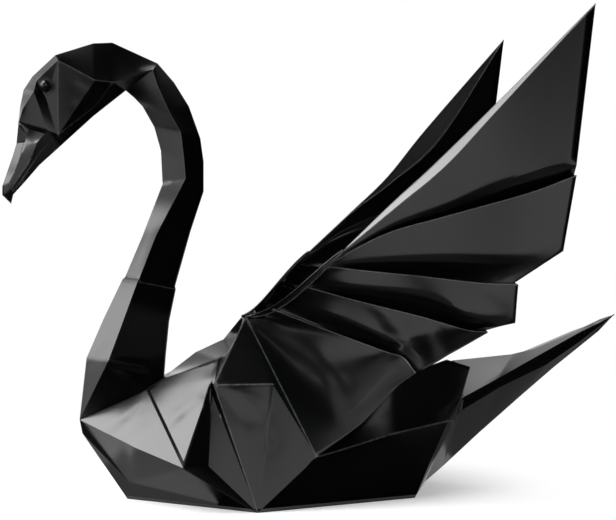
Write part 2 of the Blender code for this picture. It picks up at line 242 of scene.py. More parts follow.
def strip_panels(upper: Grid, lower: Grid) -> list[Panel]:
    """The panels between two creases that run the same way, seen from the left."""
    return list(zip(upper[:-1], lower[:-1], lower[1:], upper[1:]))


@dataclass
class PaperNet:
    """Grids of the sheet, collected and then welded into one surface.

    A triangle whose shortest side is less than the sliver's share of its longest is narrow.
    """

    points: list[Grid] = field(default_factory=list)
    faces: list[Grid] = field(default_factory=list)
    count: int = 0
    sliver: float = 0.55

    def add(self, grid: Grid, quads: Grid, side: Side) -> None:
        """Adds points and their four-cornered faces, turned over for the right side.

        Args:
            grid: Places on the left side, in any arrangement.
            quads: Four point numbers for each face, from 0 at the grid's first point.
            side: The half of the swan that they are for.
        """
        placed = grid.reshape(-1, 3) * (1, side.value, 1)
        turned = quads if side is Side.LEFT else quads[:, ::-1]
        self.points.append(placed)
        self.faces.append(turned + self.count)
        self.count += len(placed)

    def add_strip(self, grid: Grid, side: Side) -> None:
        """Adds a grid of places with a face between each four.

        Args:
            grid: Places whose first index runs from the upper crease down and whose second
                runs towards the tail, seen from outside on the left.
            side: The half of the swan that it is for.
        """
        index = np.arange(grid[..., 0].size).reshape(grid.shape[:2])
        quads = np.stack([index[:-1, :-1], index[1:, :-1], index[1:, 1:], index[:-1, 1:]], -1)
        self.add(grid, quads.reshape(-1, 4), side)

    def add_panel(self, panel: Panel, side: Side) -> None:
        """Adds a panel as a triangle or a square grid.

        A long narrow triangle is a square grid whose first edge has no length, opposite its
        shortest side.

        Args:
            panel: The panel's corners.
            side: The half of the swan that it is for.
        """
        if len(panel) == 4:
            self.add_square(panel, side)
            return
        a, b, c = panel
        turns = ((c, a, b), (a, b, c), (b, c, a))
        lengths = [float(np.linalg.norm(turn[1] - turn[2])) for turn in turns]
        tip, start, end = turns[int(np.argmin(lengths))]
        if min(lengths) < self.sliver * max(lengths):
            self.add_square((tip, tip, start, end), side)
        else:
            self.add_triangle(panel, side)

    def add_square(self, panel: Panel, side: Side) -> None:
        """Adds a panel of four corners a, b, c and d as a bilinear grid.

        A place is a (1-s)(1-t) + b s (1-t) + c s t + d (1-s) t. On each edge the shares move to
        that edge's own steps, so that the neighbouring panel has the same points.

        Args:
            panel: The panel's corners.
            side: The half of the swan that it is for.
        """
        a, b, c, d = panel
        low, right, high, left = (steps_along(p, q) for p, q in ((a, b), (b, c), (d, c), (a, d)))
        across = max(low, high)
        up = max(left, right)
        s, t = np.meshgrid(np.linspace(0, 1, across + 1), np.linspace(0, 1, up + 1), indexing="ij")
        s[:, 0] = snapped(s[:, 0], low)
        s[:, -1] = snapped(s[:, -1], high)
        t[0] = snapped(t[0], left)
        t[-1] = snapped(t[-1], right)
        s, t = s[..., None], t[..., None]
        self.add_strip(a * (1 - s) * (1 - t) + b * s * (1 - t) + c * s * t + d * (1 - s) * t, side)

    def add_triangle(self, panel: Panel, side: Side) -> None:
        """Adds a panel of three corners a, b and c as a triangular grid.

        A place is a u + b v + c w with u + v + w = 1. On each edge the weights move to that
        edge's own steps.

        Args:
            panel: The panel's corners.
            side: The half of the swan that it is for.
        """
        a, b, c = panel
        ab, bc, ca = steps_along(a, b), steps_along(b, c), steps_along(c, a)
        steps = max(ab, bc, ca)
        i, j = np.meshgrid(np.arange(steps + 1), np.arange(steps + 1), indexing="ij")
        v, w = i / steps, j / steps
        v[:, 0] = snapped(v[:, 0], ab)
        w[0] = snapped(w[0], ca)
        slant = i + j == steps
        w[slant] = snapped(w[slant], bc)
        v[slant] = 1 - w[slant]
        u, v, w = ((1 - v - w)[..., None], v[..., None], w[..., None])
        grid = a * u + b * v + c * w
        index = np.arange((steps + 1) ** 2).reshape(steps + 1, steps + 1)
        near = np.stack([index[:-1, :-1], index[1:, :-1], index[:-1, 1:], index[:-1, 1:]], -1)
        far = np.stack([index[1:, :-1], index[1:, 1:], index[:-1, 1:], index[:-1, 1:]], -1)
        low = (i + j)[:-1, :-1]
        self.add(grid, np.vstack([near[low <= steps - 1], far[low <= steps - 2]]), side)

    def welded(self) -> tuple[Grid, Grid]:
        """The sheet as one surface: points in one small cell become one.

        A square that lost a corner is turned so that the repeated corner comes last, and one
        that lost two is dropped.

        Returns:
            The points, and for each face four point numbers, the last repeated in a triangle.
        """
        points = np.vstack(self.points)
        faces = np.vstack(self.faces)
        keys = np.round(points / WELD + WELD_SHIFT).astype(np.int64)
        _, first, whole = np.unique(keys, axis=0, return_index=True, return_inverse=True)
        faces = whole.reshape(-1)[faces]
        same = faces == np.roll(faces, -1, axis=1)
        faces = faces[same.sum(1) <= 1]
        same = same[same.sum(1) <= 1]
        turn = np.where(same.any(1), (same.argmax(1) + 2) % 4, 0)
        corner = (np.arange(4)[None] + turn[:, None]) % 4
        faces = np.take_along_axis(faces, corner, axis=1)
        ordered = np.sort(faces, axis=1)
        alike = (ordered[:, 1:] == ordered[:, :-1]).sum(1)
        triangle = faces[:, 2] == faces[:, 3]
        faces = faces[(alike == 0) | (triangle & (alike == 1))]
        used, packed = np.unique(faces, return_inverse=True)
        return points[first][used], packed.reshape(faces.shape)


def vertex_normals(points: Grid, faces: Grid) -> Grid:
    """Unit normals at the points: the sum of each face's diagonals crossed.

    Args:
        points: The points, one a row.
        faces: Four point numbers for each face.

    Returns:
        One normal for each point.
    """
    a, b, c, d = (points[faces[:, k]] for k in range(4))
    face_normal = np.cross(c - a, d - b)
    total = np.zeros_like(points)
    for k in range(4):
        np.add.at(total, faces[:, k], face_normal)
    return total / np.maximum(np.linalg.norm(total, axis=1, keepdims=True), TINY)


def relaxed(points: Grid, faces: Grid, weight: Grid, rounds: int) -> Grid:
    """Points moved towards the mean of their neighbours, some rounds.

    Points on the paper's cut edges stay where they are.

    Args:
        points: The points, one a row.
        faces: Four point numbers for each face.
        weight: How far each point takes part, from 0 to 1.
        rounds: How many times they move.

    Returns:
        The moved points.
    """
    edges = np.vstack([faces[:, [k, (k + 1) % 4]] for k in range(4)])
    edges = edges[edges[:, 0] != edges[:, 1]]
    edges, uses = np.unique(np.sort(edges, axis=1), axis=0, return_counts=True)
    weight = weight.copy()
    weight[edges[uses == 1].ravel()] = 0
    ends = np.concatenate([edges[:, 0], edges[:, 1]])
    others = np.concatenate([edges[:, 1], edges[:, 0]])
    number = np.bincount(ends, minlength=len(points))[:, None]
    moved = points.copy()
    for _ in range(rounds):
        total = np.stack([np.bincount(ends, moved[others, k], len(points)) for k in range(3)], 1)
        moved += weight[:, None] * RELAX_STEP * (total / number - moved)
    return moved


def pressed(points: Grid, normals: Grid, mark: Mark) -> Grid:
    """Points moved along their normals by a mark's section.

    With d the distance from the run and w the width, a trough sinks by exp(-(d/w)^2), and a
    step rises and sinks by (x/w) exp(1/2 - (d/w)^2 / 2) on its two sides, x being the
    distance across the run.

    Args:
        points: The points, one a row.
        normals: One unit normal for each point.
        mark: The mark.

    Returns:
        The moved points.
    """
    start, end, facing = (np.array(v, float) for v in (mark.start, mark.end, mark.facing))
    facing = unit(facing)
    away = distance_to(points, np.stack([start, end]))
    turned = smoothstep((normals @ facing - MARK_COSINE) / MARK_BLEND)
    if mark.press is Press.TROUGH:
        amount = -np.exp(-((away / mark.width) ** 2))
    else:
        x = (points - start) @ unit(np.cross(facing, end - start)) / mark.width
        amount = x * np.exp(0.5 - (away / mark.width) ** 2 / 2)
    return points + normals * (mark.height * turned * amount)[:, None]


@dataclass
class Neck:
    """The neck: two long facets a side, the back one and the front one, with a crimp half way."""

    back: tuple[SideView, ...] = (
        (-30.5, 42.5), (-29.5, 52.5), (-27.5, 62.0), (-23.0, 79.5), (-19.0, 91.5),
        (-19.0, 100.5), (-20.0, 107.5), (-23.5, 117.0), (-28.0, 124.0), (-33.0, 129.5),
    )
    ridge: tuple[SideView, ...] = (
        (-48.5, 42.0), (-44.5, 52.5), (-40.0, 64.5), (-34.5, 78.0), (-25.5, 95.0),
        (-26.0, 100.5), (-27.0, 108.5), (-30.5, 114.5), (-34.0, 122.0), (-35.5, 126.5),
    )
    front: tuple[SideView, ...] = (
        (-54.0, 42.0), (-49.0, 53.5), (-43.5, 65.0), (-37.5, 78.0), (-31.5, 93.5),
        (-32.0, 103.5), (-34.0, 110.5), (-37.5, 116.5), (-40.0, 119.0), (-42.5, 121.0),
    )
    crimp_point: int = 4
    lap_station: int = 2
    lap_rise: float = 0.9
    lap_depth: float = 0.45
    foot_half: float = 7.5
    crimp_half: float = 5.0
    nape_half: float = 6.0
    bow: SideView = (-56.0, 24.0)
    seat_middle: SideView = (-42.3, 30.0)
    seat_middle_half: float = 3.4
    seat_rear: SideView = (-37.0, 32.5)
    seat_rear_half: float = 3.5
    back_foot: SideView = (-31.0, 36.0)
    # Pale lines painted along these folds, partly worn paper and partly painted highlight
    ridge_wear_and_highlight: float = 0.12
    lap_wear_and_highlight: float = 0.15

    def ridge_halves(self) -> tuple[float, ...]:
        """Half widths that shrink evenly from the foot to the crimp and grow again to the nape.

        Returns:
            One half width for each place of the ridge.
        """
        last = len(self.ridge) - 1
        below = np.linspace(self.foot_half, self.crimp_half, self.crimp_point + 1)
        above = np.linspace(self.crimp_half, self.nape_half, last - self.crimp_point + 1)
        return tuple(below) + tuple(above[1:])

    def lines(self) -> tuple[Grid, Grid, Grid]:
        """The neck's three long creases, each with the lapped cross fold.

        At the lap a second place stands a little further up each crease, sunk towards the
        neck's middle.

        Returns:
            The back crease, the side ridge and the front crease, from the foot up.
        """
        back, front = line(self.back), line(self.front)
        ridge = line(self.ridge, self.ridge_halves())
        i = self.lap_station
        middle = (back[i] + ridge[i] + front[i]) / 3 * (1, 0, 1)
        lapped = []
        for points in (back, ridge, front):
            sunk = points[i] + unit(points[i + 1] - points[i]) * self.lap_rise
            sunk = sunk + unit(middle - points[i]) * self.lap_depth
            lapped.append(np.insert(points, i + 1, sunk, axis=0))
        return lapped[0], lapped[1], lapped[2]

    def seat(self) -> tuple[Grid, Grid, Grid, Grid]:
        """The line where the neck leaves the breast.

        Returns:
            Its places from the bow to the back of the neck.
        """
        middle = at(self.seat_middle, self.seat_middle_half)
        rear = at(self.seat_rear, self.seat_rear_half)
        return at(self.bow), middle, rear, at(self.back_foot)

    def panels(self) -> list[Panel]:
        """The neck's panels.

        Returns:
            The panels on the left side, each as its corners.
        """
        back, side, front = self.lines()
        bow, middle, rear, foot = self.seat()
        panels = [
            (foot, back[0], side[0], rear),
            (rear, side[0], middle),
            (middle, side[0], bow),
            (side[0], front[0], bow),
        ]
        for i in range(len(side) - 1):
            panels.append((back[i], back[i + 1], side[i + 1], side[i]))
            panels.append((side[i], side[i + 1], front[i + 1], front[i]))
        return panels

    def creases(self) -> list[Crease]:
        """The neck's fold lines.

        Returns:
            The fold lines on the left side.
        """
        back, side, front = self.lines()
        i = self.lap_station
        lap = np.stack([front[i], side[i], back[i]])
        return [
            Crease(back), Crease(side, wear_and_highlight=self.ridge_wear_and_highlight), Crease(front),
            Crease(lap, wear_and_highlight=self.lap_wear_and_highlight),
        ]

    def marks(self) -> list[Mark]:
        """Small kinks pressed into the neck.

        Returns:
            The marks on the left side.
        """
        back, front = (0.4, -0.9, 0.0), (-0.75, -0.6, 0.25)
        return [
            Mark((-48.0, -7.0, 41.0), (-37.5, -3.4, 38.4), 1.0, 0.26, back, Press.STEP),
            Mark((-53.4, -0.9, 42.6), (-49.0, -4.4, 45.8), 1.8, 0.07, front, Press.STEP),
            Mark((-37.6, -4.8, 70.0), (-33.4, -4.6, 79.0), 2.0, 0.08, front, Press.TROUGH),
        ]


@dataclass
class Head:
    """The head: crown, cheek, chin, and the facets round the eye."""

    crown_rear: SideView = (-46.5, 135.0)
    crown_top: SideView = (-52.0, 134.5)
    crown_front: SideView = (-63.0, 130.5)
    forehead: tuple[SideView, ...] = (
        (-69.5, 124.0), (-72.0, 120.0), (-73.0, 115.0), (-73.5, 110.0),
    )
    brow: SideView = (-62.5, 128.5)
    temple: SideView = (-47.0, 122.5)
    cheek: SideView = (-52.5, 122.5)
    jaw: SideView = (-52.0, 115.5)
    chin_rear: SideView = (-51.0, 116.5)
    chin_front: SideView = (-61.0, 106.5)
    chin_line: tuple[SideView, ...] = ((-51.5, 113.6), (-61.8, 103.8))
    chin_halves: tuple[float, ...] = (3.2, 3.2)
    mouth_corner: SideView = (-62.5, 107.0)
    lore_top: SideView = (-68.5, 122.5)
    lore_edge: tuple[SideView, ...] = ((-69.5, 119.0), (-72.5, 114.0), (-73.5, 110.5))
    lore_halves: tuple[float, ...] = (4.6, 3.4, 2.2)
    gape_half: float = 4.6
    eye_fold: SideView = (-66.0, 117.5)
    gape: SideView = (-65.5, 108.0)
    nape_half: float = 6.0
    cheek_half: float = 8.0
    jaw_half: float = 4.5
    brow_half: float = 3.5
    beak_root_half: float = 2.5
    eye_fold_half: float = 3.7
    seat_fold_half: float = 5.0
    # Pale lines painted along these folds, partly worn paper and partly painted highlight
    brow_wear_and_highlight: float = 0.16
    jaw_wear_and_highlight: float = 0.08

    def panels(self, neck: Neck) -> list[Panel]:
        """The head's panels, from the neck's last fold to the beak's root.

        Args:
            neck: The neck that the head sits on.

        Returns:
            The panels on the left side, each as its corners.
        """
        back, side, front = (points[-1] for points in neck.lines())
        crown_rear, crown_top, crown_front = (
            at(self.crown_rear), at(self.crown_top), at(self.crown_front)
        )
        temple = at(self.temple, self.nape_half)
        cheek = at(self.cheek, self.cheek_half)
        jaw = at(self.jaw, self.jaw_half)
        brow = at(self.brow, self.brow_half)
        chin_rear, chin_front = at(self.chin_rear), at(self.chin_front)
        corner = at(self.mouth_corner, self.jaw_half)
        lore_top = at(self.lore_top, self.beak_root_half)
        lore = line(self.lore_edge, self.lore_halves)
        fold = at(self.eye_fold, self.eye_fold_half)
        gape = at(self.gape, self.gape_half)
        chin_back, chin_near = line(self.chin_line, self.chin_halves)
        brow_line = line(self.forehead)
        return [
            (back, crown_rear, temple, side),
            (side, temple, front),
            (crown_rear, crown_top, cheek, temple),
            (crown_top, crown_front, brow, cheek),
            (temple, cheek, jaw),
            (cheek, brow, corner),
            (cheek, corner, jaw),
            (front, temple, jaw, chin_back),
            (chin_back, jaw, corner, chin_near),
            (front, chin_back, chin_rear),
            (chin_back, chin_near, chin_front, chin_rear),
            (crown_front, brow_line[0], lore_top, brow),
            (brow_line[0], brow_line[1], lore[0], lore_top),
            (brow_line[1], brow_line[2], lore[1], lore[0]),
            (brow_line[2], brow_line[3], lore[2], lore[1]),
            (brow, lore_top, fold),
            (brow, fold, corner),
            (lore_top, lore[0], fold),
            (lore[0], gape, corner, fold),
            (lore[0], lore[1], lore[2], gape),
        ]

    def creases(self) -> list[Crease]:
        """The head's fold lines that carry pale painted lines: worn paper and painted highlight.

        Returns:
            The fold lines on the left side.
        """
        brow = at(self.brow, self.brow_half)
        cheek = at(self.cheek, self.cheek_half)
        corner = at(self.mouth_corner, self.jaw_half)
        temple = at(self.temple, self.nape_half)
        jaw = at(self.jaw, self.jaw_half)
        return [
            Crease(np.stack([brow, corner]), wear_and_highlight=self.brow_wear_and_highlight),
            Crease(np.stack([brow, cheek, temple]), wear_and_highlight=self.brow_wear_and_highlight),
            Crease(np.stack([temple, jaw, corner]), wear_and_highlight=self.jaw_wear_and_highlight),
        ]

    def marks(self) -> list[Mark]:
        """The round pad pressed in about the eye, and soft dents of the cheek.

        Returns:
            The marks on the left side.
        """
        cheek = (0.1, -0.97, -0.1)
        eye = (-66.1, -4.0, 121.0)
        return [
            Mark(eye, (-66.05, -4.0, 121.05), 1.9, 0.55, (-0.4, -0.9, 0.2), over_folds=True),
            Mark((-56.5, -6.0, 121.5), (-52.0, -6.5, 118.5), 1.8, 0.10, cheek, Press.STEP),
            Mark((-57.5, -5.2, 115.0), (-54.5, -5.2, 113.8), 1.6, 0.18, cheek),
        ]


@dataclass
class Beak:
    """The beak: a pale-lit top, a grey side, nostrils, a dark lower bill and a hooked nail.

    The lines run from the face to the tip: the top along the middle, then the edge, the lip and
    the bill's foot, each with its half widths, and the hollow underside along the middle.
    """

    top: tuple[SideView, ...] = ((-74.0, 104.5), (-75.0, 101.0), (-78.0, 92.0))
    edge: tuple[SideView, ...] = ((-71.8, 104.6), (-73.5, 99.4), (-75.9, 92.7))
    edge_halves: tuple[float, ...] = (2.4, 2.0, 1.1)
    lip: tuple[SideView, ...] = ((-68.6, 104.4), (-70.8, 98.8), (-75.4, 91.4))
    lip_halves: tuple[float, ...] = (4.4, 3.0, 1.1)
    foot: tuple[SideView, ...] = ((-67.7, 98.2), (-72.0, 93.0), (-75.0, 89.6))
    foot_halves: tuple[float, ...] = (2.9, 1.9, 0.6)
    under: tuple[SideView, ...] = ((-66.9, 100.6), (-71.5, 95.0), (-74.7, 90.4))
    sill: SideView = (-66.2, 107.1)
    sill_half: float = 3.8
    tuck: SideView = (-70.8, 108.4)
    tuck_half: float = 2.3
    nostril: SideView = (-70.4, 106.0)
    nostril_half: float = 0.3
    nail: SideView = (-78.0, 89.5)
    hook: SideView = (-75.5, 87.0)
    mouth_share: float = 0.55
    # Pale lines painted along these folds, partly worn paper and partly painted highlight
    lip_wear_and_highlight: float = 0.10
    mouth_wear_and_highlight: float = 0.22

    def side_lines(self) -> tuple[Grid, Grid, Grid]:
        """The edge, the lip and the bill's foot on the left side."""
        edge, lip = line(self.edge, self.edge_halves), line(self.lip, self.lip_halves)
        return edge, lip, line(self.foot, self.foot_halves)

    def panels(self, head: Head) -> list[Panel]:
        """The beak's panels, from the face to the hooked nail.

        Args:
            head: The head that the beak grows from.

        Returns:
            The panels on the left side, each as its corners.
        """
        root = at(head.lore_edge[-1], head.lore_halves[-1])
        face = at(head.forehead[-1])
        gape = at(head.gape, head.gape_half)
        corner = at(head.mouth_corner, head.jaw_half)
        chin_near = at(head.chin_line[-1], head.chin_halves[-1])
        chin_front = at(head.chin_front)
        top, under = line(self.top), line(self.under)
        edge, lip, foot = self.side_lines()
        tuck, sill = at(self.tuck, self.tuck_half), at(self.sill, self.sill_half)
        nostril = at(self.nostril, self.nostril_half)
        nail, hook = at(self.nail), at(self.hook)
        return [
            (face, top[0], nostril),
            (top[0], edge[0], nostril),
            (edge[0], tuck, nostril),
            (tuck, root, nostril),
            (root, face, nostril),
            (root, tuck, sill, gape),
            (top[0], top[1], edge[1], edge[0]),
            (top[1], top[2], edge[2], edge[1]),
            (tuck, edge[0], lip[0], sill),
            (gape, sill, lip[0]),
            (edge[0], edge[1], lip[1], lip[0]),
            (edge[1], edge[2], lip[2], lip[1]),
            (gape, chin_near, corner),
            (gape, lip[0], foot[0], chin_near),
            (lip[0], lip[1], foot[1], foot[0]),
            (lip[1], lip[2], foot[2], foot[1]),
            (chin_near, foot[0], under[0], chin_front),
            (foot[0], foot[1], under[1], under[0]),
            (foot[1], foot[2], under[2], under[1]),
            (top[2], nail, lip[2], edge[2]),
            (nail, hook, lip[2]),
            (lip[2], hook, foot[2]),
            (foot[2], hook, under[2]),
        ]

    def creases(self, head: Head) -> list[Crease]:
        """The lip's edge, and the mouth line a share of the way down the dark lower bill.

        Args:
            head: The head that the beak grows from.

        Returns:
            The fold lines on the left side.
        """
        _, lip, foot = self.side_lines()
        corner = at(head.mouth_corner, head.jaw_half)
        mouth = np.vstack([corner, lip + (foot - lip) * self.mouth_share])
        return [Crease(lip, wear_and_highlight=self.lip_wear_and_highlight), Crease(mouth, wear_and_highlight=self.mouth_wear_and_highlight)]


@dataclass
class Hull:
    """The boat-shaped body: breast flap, deck, shoulder, side panel, base and stern."""

    base_front: SideView = (-42.0, 0.0)
    base_corner: SideView = (-10.0, 0.0)
    base_corner_half: float = 30.5
    base_rear_corner: SideView = (40.0, 0.0)
    base_rear_half: float = 23.5
    base_rear: SideView = (53.0, 0.0)
    keel: SideView = (-55.2, 20.0)
    stem: SideView = (-42.0, 5.5)
    stem_half: float = 3.0
    breast: SideView = (-42.1, 17.5)
    breast_half: float = 15.2
    flap_tip: SideView = (-30.5, 13.0)
    flap_tip_half: float = 27.0
    lap_reach: float = 0.92
    lap_width: float = 0.9
    lap_depth: float = 0.7
    flank_valley: SideView = (-21.8, 12.0)
    flank_valley_half: float = 20.0
    foot_side_half: float = 3.4
    deck_edge: tuple[SideView, ...] = ((-16.5, 41.5), (-12.5, 43.5))
    deck_edge_halves: tuple[float, ...] = (9.0, 7.0)
    deck_ridge: tuple[SideView, ...] = ((-21.5, 43.0), (-13.5, 46.5), (-9.0, 47.5), (-6.5, 53.0))
    shoulder_share: float = 0.21
    shoulder: SideView = (-19.0, 34.5)
    shoulder_half: float = 14.5
    shoulder_step: SideView = (-19.5, 33.0)
    shoulder_step_half: float = 12.0
    dimple: SideView = (-2.0, 34.5)
    dimple_half: float = 17.0
    rim: tuple[SideView, ...] = ((17.0, 24.5), (33.0, 35.0), (52.5, 40.5), (60.5, 38.0))
    rim_halves: tuple[float, ...] = (22.0, 21.0, 18.5, 18.0)
    soft_fold: tuple[SideView, ...] = ((17.0, 18.0), (33.0, 22.5), (51.5, 24.0), (57.0, 27.5))
    soft_halves: tuple[float, ...] = (28.0, 25.0, 21.0, 18.5)
    crisp_fold: tuple[SideView, ...] = ((17.0, 16.8), (32.5, 20.0), (52.0, 22.0))
    crisp_halves: tuple[float, ...] = (29.3, 26.5, 20.5)
    rump: SideView = (55.0, 21.5)
    rump_half: float = 18.0
    soft_rounding: float = 2.5
    # Pale lines painted along these folds, partly worn paper and partly painted highlight
    crisp_wear_and_highlight: float = 0.3
    shoulder_wear_and_highlight: float = 0.35
    dimple_wear_and_highlight: float = 0.4

    def corners(self) -> tuple[Grid, Grid, Grid, Grid]:
        """The corners of the flat base.

        Returns:
            Its front, side corner, rear corner and rear.
        """
        return (
            at(self.base_front), at(self.base_corner, self.base_corner_half),
            at(self.base_rear_corner, self.base_rear_half), at(self.base_rear),
        )

    def deck_side(self) -> Grid:
        """The deck's outer edge, from the neck to the wing."""
        return line(self.deck_edge, self.deck_edge_halves)

    def shoulder_root(self) -> Grid:
        """The place on the flap's rear edge where the shoulder folds come together."""
        top = self.deck_side()[0]
        return top + (at(self.flap_tip, self.flap_tip_half) - top) * self.shoulder_share

    def breast_panels(self, neck: Neck) -> list[Panel]:
        """The bow, the pale breast flap and the flank under it.

        Args:
            neck: The neck that stands on the breast.

        Returns:
            The panels on the left side, each as its corners.
        """
        bow, middle, seat_rear, foot = neck.seat()
        front, corner, _, _ = self.corners()
        breast = at(self.breast, self.breast_half)
        keel, stem = at(self.keel), at(self.stem, self.stem_half)
        flap = at(self.flap_tip, self.flap_tip_half)
        valley = at(self.flank_valley, self.flank_valley_half)
        edge = self.deck_side()[0]
        ledge = at(neck.back_foot, self.foot_side_half)
        inner = self.shoulder_root()
        top, low, under_top, under_low = self.lap(neck)
        return [
            (bow, keel, stem),
            (keel, front, stem),
            (bow, stem, breast),
            (breast, stem, flap),
            (flap, corner, valley),
            (flap, stem, corner),
            (stem, front, corner),
            (bow, breast, middle),
            (middle, breast, low, top),
            (breast, flap, low),
            (top, low, under_low, under_top),
            (low, flap, under_low),
            (under_top, under_low, inner),
            (under_low, flap, inner),
            (seat_rear, under_top, ledge),
            (under_top, inner, edge, ledge),
            (seat_rear, ledge, foot),
            (inner, flap, valley),
        ]

    def lap(self, neck: Neck) -> tuple[Grid, Grid, Grid, Grid]:
        """The lapped edge that crosses the flap from the neck towards its tip.

        The sunk edge lies a width beside it and a depth under the flap.

        Args:
            neck: The neck whose seat the edge starts from.

        Returns:
            The edge's top and low ends, and the two ends of the sunk edge.
        """
        top = neck.seat()[2]
        flap = at(self.flap_tip, self.flap_tip_half)
        low = top + (flap - top) * self.lap_reach
        outward = unit(np.cross(flap - top, self.shoulder_root() - top))
        across = unit(np.cross(outward, flap - top))
        step = across * self.lap_width - outward * self.lap_depth
        return top, low, top + step, low + step

    def deck_panels(self, neck: Neck, wing: Wing) -> list[Panel]:
        """The small deck between the neck and the wings.

        Args:
            neck: The neck in front of the deck.
            wing: The wing behind it.

        Returns:
            The panels on the left side, each as its corners.
        """
        ridge, edge = line(self.deck_ridge), self.deck_side()
        ledge = at(neck.back_foot, self.foot_side_half)
        return [
            (at(neck.back_foot), ledge, edge[0], ridge[0]),
            (ridge[0], edge[0], edge[1], ridge[1]),
            (ridge[1], edge[1], ridge[2]),
            (ridge[2], edge[1], wing.seam()[0], ridge[3]),
        ]

    def side_panels(self, wing: Wing) -> list[Panel]:
        """The shoulder, and the big side panel under the wing.

        Args:
            wing: The wing whose seam the panel ends at.

        Returns:
            The panels on the left side, each as its corners.
        """
        edge, seam = self.deck_side(), wing.seam()
        inner = self.shoulder_root()
        shoulder = at(self.shoulder, self.shoulder_half)
        step = at(self.shoulder_step, self.shoulder_step_half)
        valley = at(self.flank_valley, self.flank_valley_half)
        dimple = at(self.dimple, self.dimple_half)
        corner = self.corners()[1]
        return [
            (edge[1], edge[0], shoulder, seam[0]),
            (edge[0], inner, shoulder),
            (inner, step, shoulder),
            (inner, valley, step),
            (step, corner, shoulder),
            (valley, corner, step),
            (shoulder, dimple, seam[0]),
            (seam[0], dimple, seam[1]),
            (seam[1], dimple, seam[2]),
            (seam[2], dimple, seam[3]),
            (seam[3], dimple, seam[4]),
            (shoulder, corner, dimple),
            (dimple, corner, seam[4]),
        ]

    def stern_lines(self, wing: Wing) -> tuple[Grid, Grid, Grid]:
        """The stern's creases, each from the wing's bottom corner back.

        Args:
            wing: The wing that the creases start from.

        Returns:
            The rim, the soft fold and the crisp fold.
        """
        bottom = wing.seam()[-1]
        rump = at(self.rump, self.rump_half)
        rim = np.vstack([bottom, line(self.rim, self.rim_halves)])
        soft = np.vstack([bottom, line(self.soft_fold, self.soft_halves)])
        crisp = np.vstack([bottom, line(self.crisp_fold, self.crisp_halves), rump])
        return rim, soft, crisp

    def stern_panels(self, wing: Wing) -> list[Panel]:
        """The black rear side of the hull with its pleat.

        Args:
            wing: The wing that the pleat starts from.

        Returns:
            The panels on the left side, each as its corners.
        """
        _, corner, rear_corner, rear = self.corners()
        rim, soft, crisp = self.stern_lines(wing)
        return strip_panels(rim, soft) + strip_panels(soft, crisp) + [
            (crisp[0], corner, crisp[1]),
            (crisp[1], corner, crisp[2]),
            (crisp[2], corner, rear_corner),
            (crisp[3], crisp[2], rear_corner),
            (crisp[3], rear_corner, crisp[4]),
            (rear_corner, rear, crisp[4]),
        ]

    def base_panels(self) -> list[Panel]:
        """The flat base, from the centre plane out."""
        front, corner, rear_corner, rear = self.corners()
        return [(rear, rear_corner, corner, front)]

    def creases(self, neck: Neck, wing: Wing) -> list[Crease]:
        """The hull's fold lines.

        Args:
            neck: The neck in front of the deck.
            wing: The wing over the side panel.

        Returns:
            The fold lines on the left side.
        """
        rim, soft, crisp = self.stern_lines(wing)
        shoulder = at(self.shoulder, self.shoulder_half)
        dimple = at(self.dimple, self.dimple_half)
        return [
            Crease(rim), Crease(soft, rounding=self.soft_rounding),
            Crease(crisp, wear_and_highlight=self.crisp_wear_and_highlight),
            Crease(np.stack([shoulder, self.corners()[1]]), wear_and_highlight=self.shoulder_wear_and_highlight),
            Crease(np.stack([shoulder, wing.seam()[0]]), wear_and_highlight=self.shoulder_wear_and_highlight),
            Crease(np.stack([shoulder, dimple]), wear_and_highlight=self.dimple_wear_and_highlight),
            Crease(np.stack(self.lap(neck)[:2])),
        ]

    def marks(self) -> list[Mark]:
        """Wrinkles of the pale flap, the bruised side panel and the flank.

        Returns:
            The marks on the left side.
        """
        flap, side, bow = (-0.5, -0.66, 0.56), (-0.1, -0.91, 0.4), (-0.6, -0.7, -0.3)
        return [
            Mark((-49.0, -7.5, 19.5), (-43.8, -7.8, 24.6), 1.4, 0.06, flap, Press.STEP),
            Mark((-43.8, -7.8, 24.6), (-39.4, -6.6, 27.8), 1.4, 0.06, flap, Press.STEP),
            Mark((-33.0, -16.0, 22.6), (-29.2, -15.5, 25.7), 1.5, 0.08, flap, Press.STEP),
            Mark((-29.2, -15.5, 25.7), (-23.9, -15.5, 29.7), 1.5, 0.08, flap, Press.STEP),
            Mark((-40.5, -11.5, 20.3), (-36.4, -12.9, 22.9), 2.0, 0.08, flap, Press.TROUGH),
            Mark((-18.6, -14.4, 33.4), (-9.3, -18.9, 27.4), 2.4, 0.34, side, Press.STEP),
            Mark((-8.0, -20.5, 24.0), (-5.0, -23.5, 19.0), 3.0, 0.25, side, Press.TROUGH),
            Mark((-43.0, -12.6, 16.0), (-43.5, -8.0, 8.0), 2.0, 0.14, bow, Press.STEP),
        ]


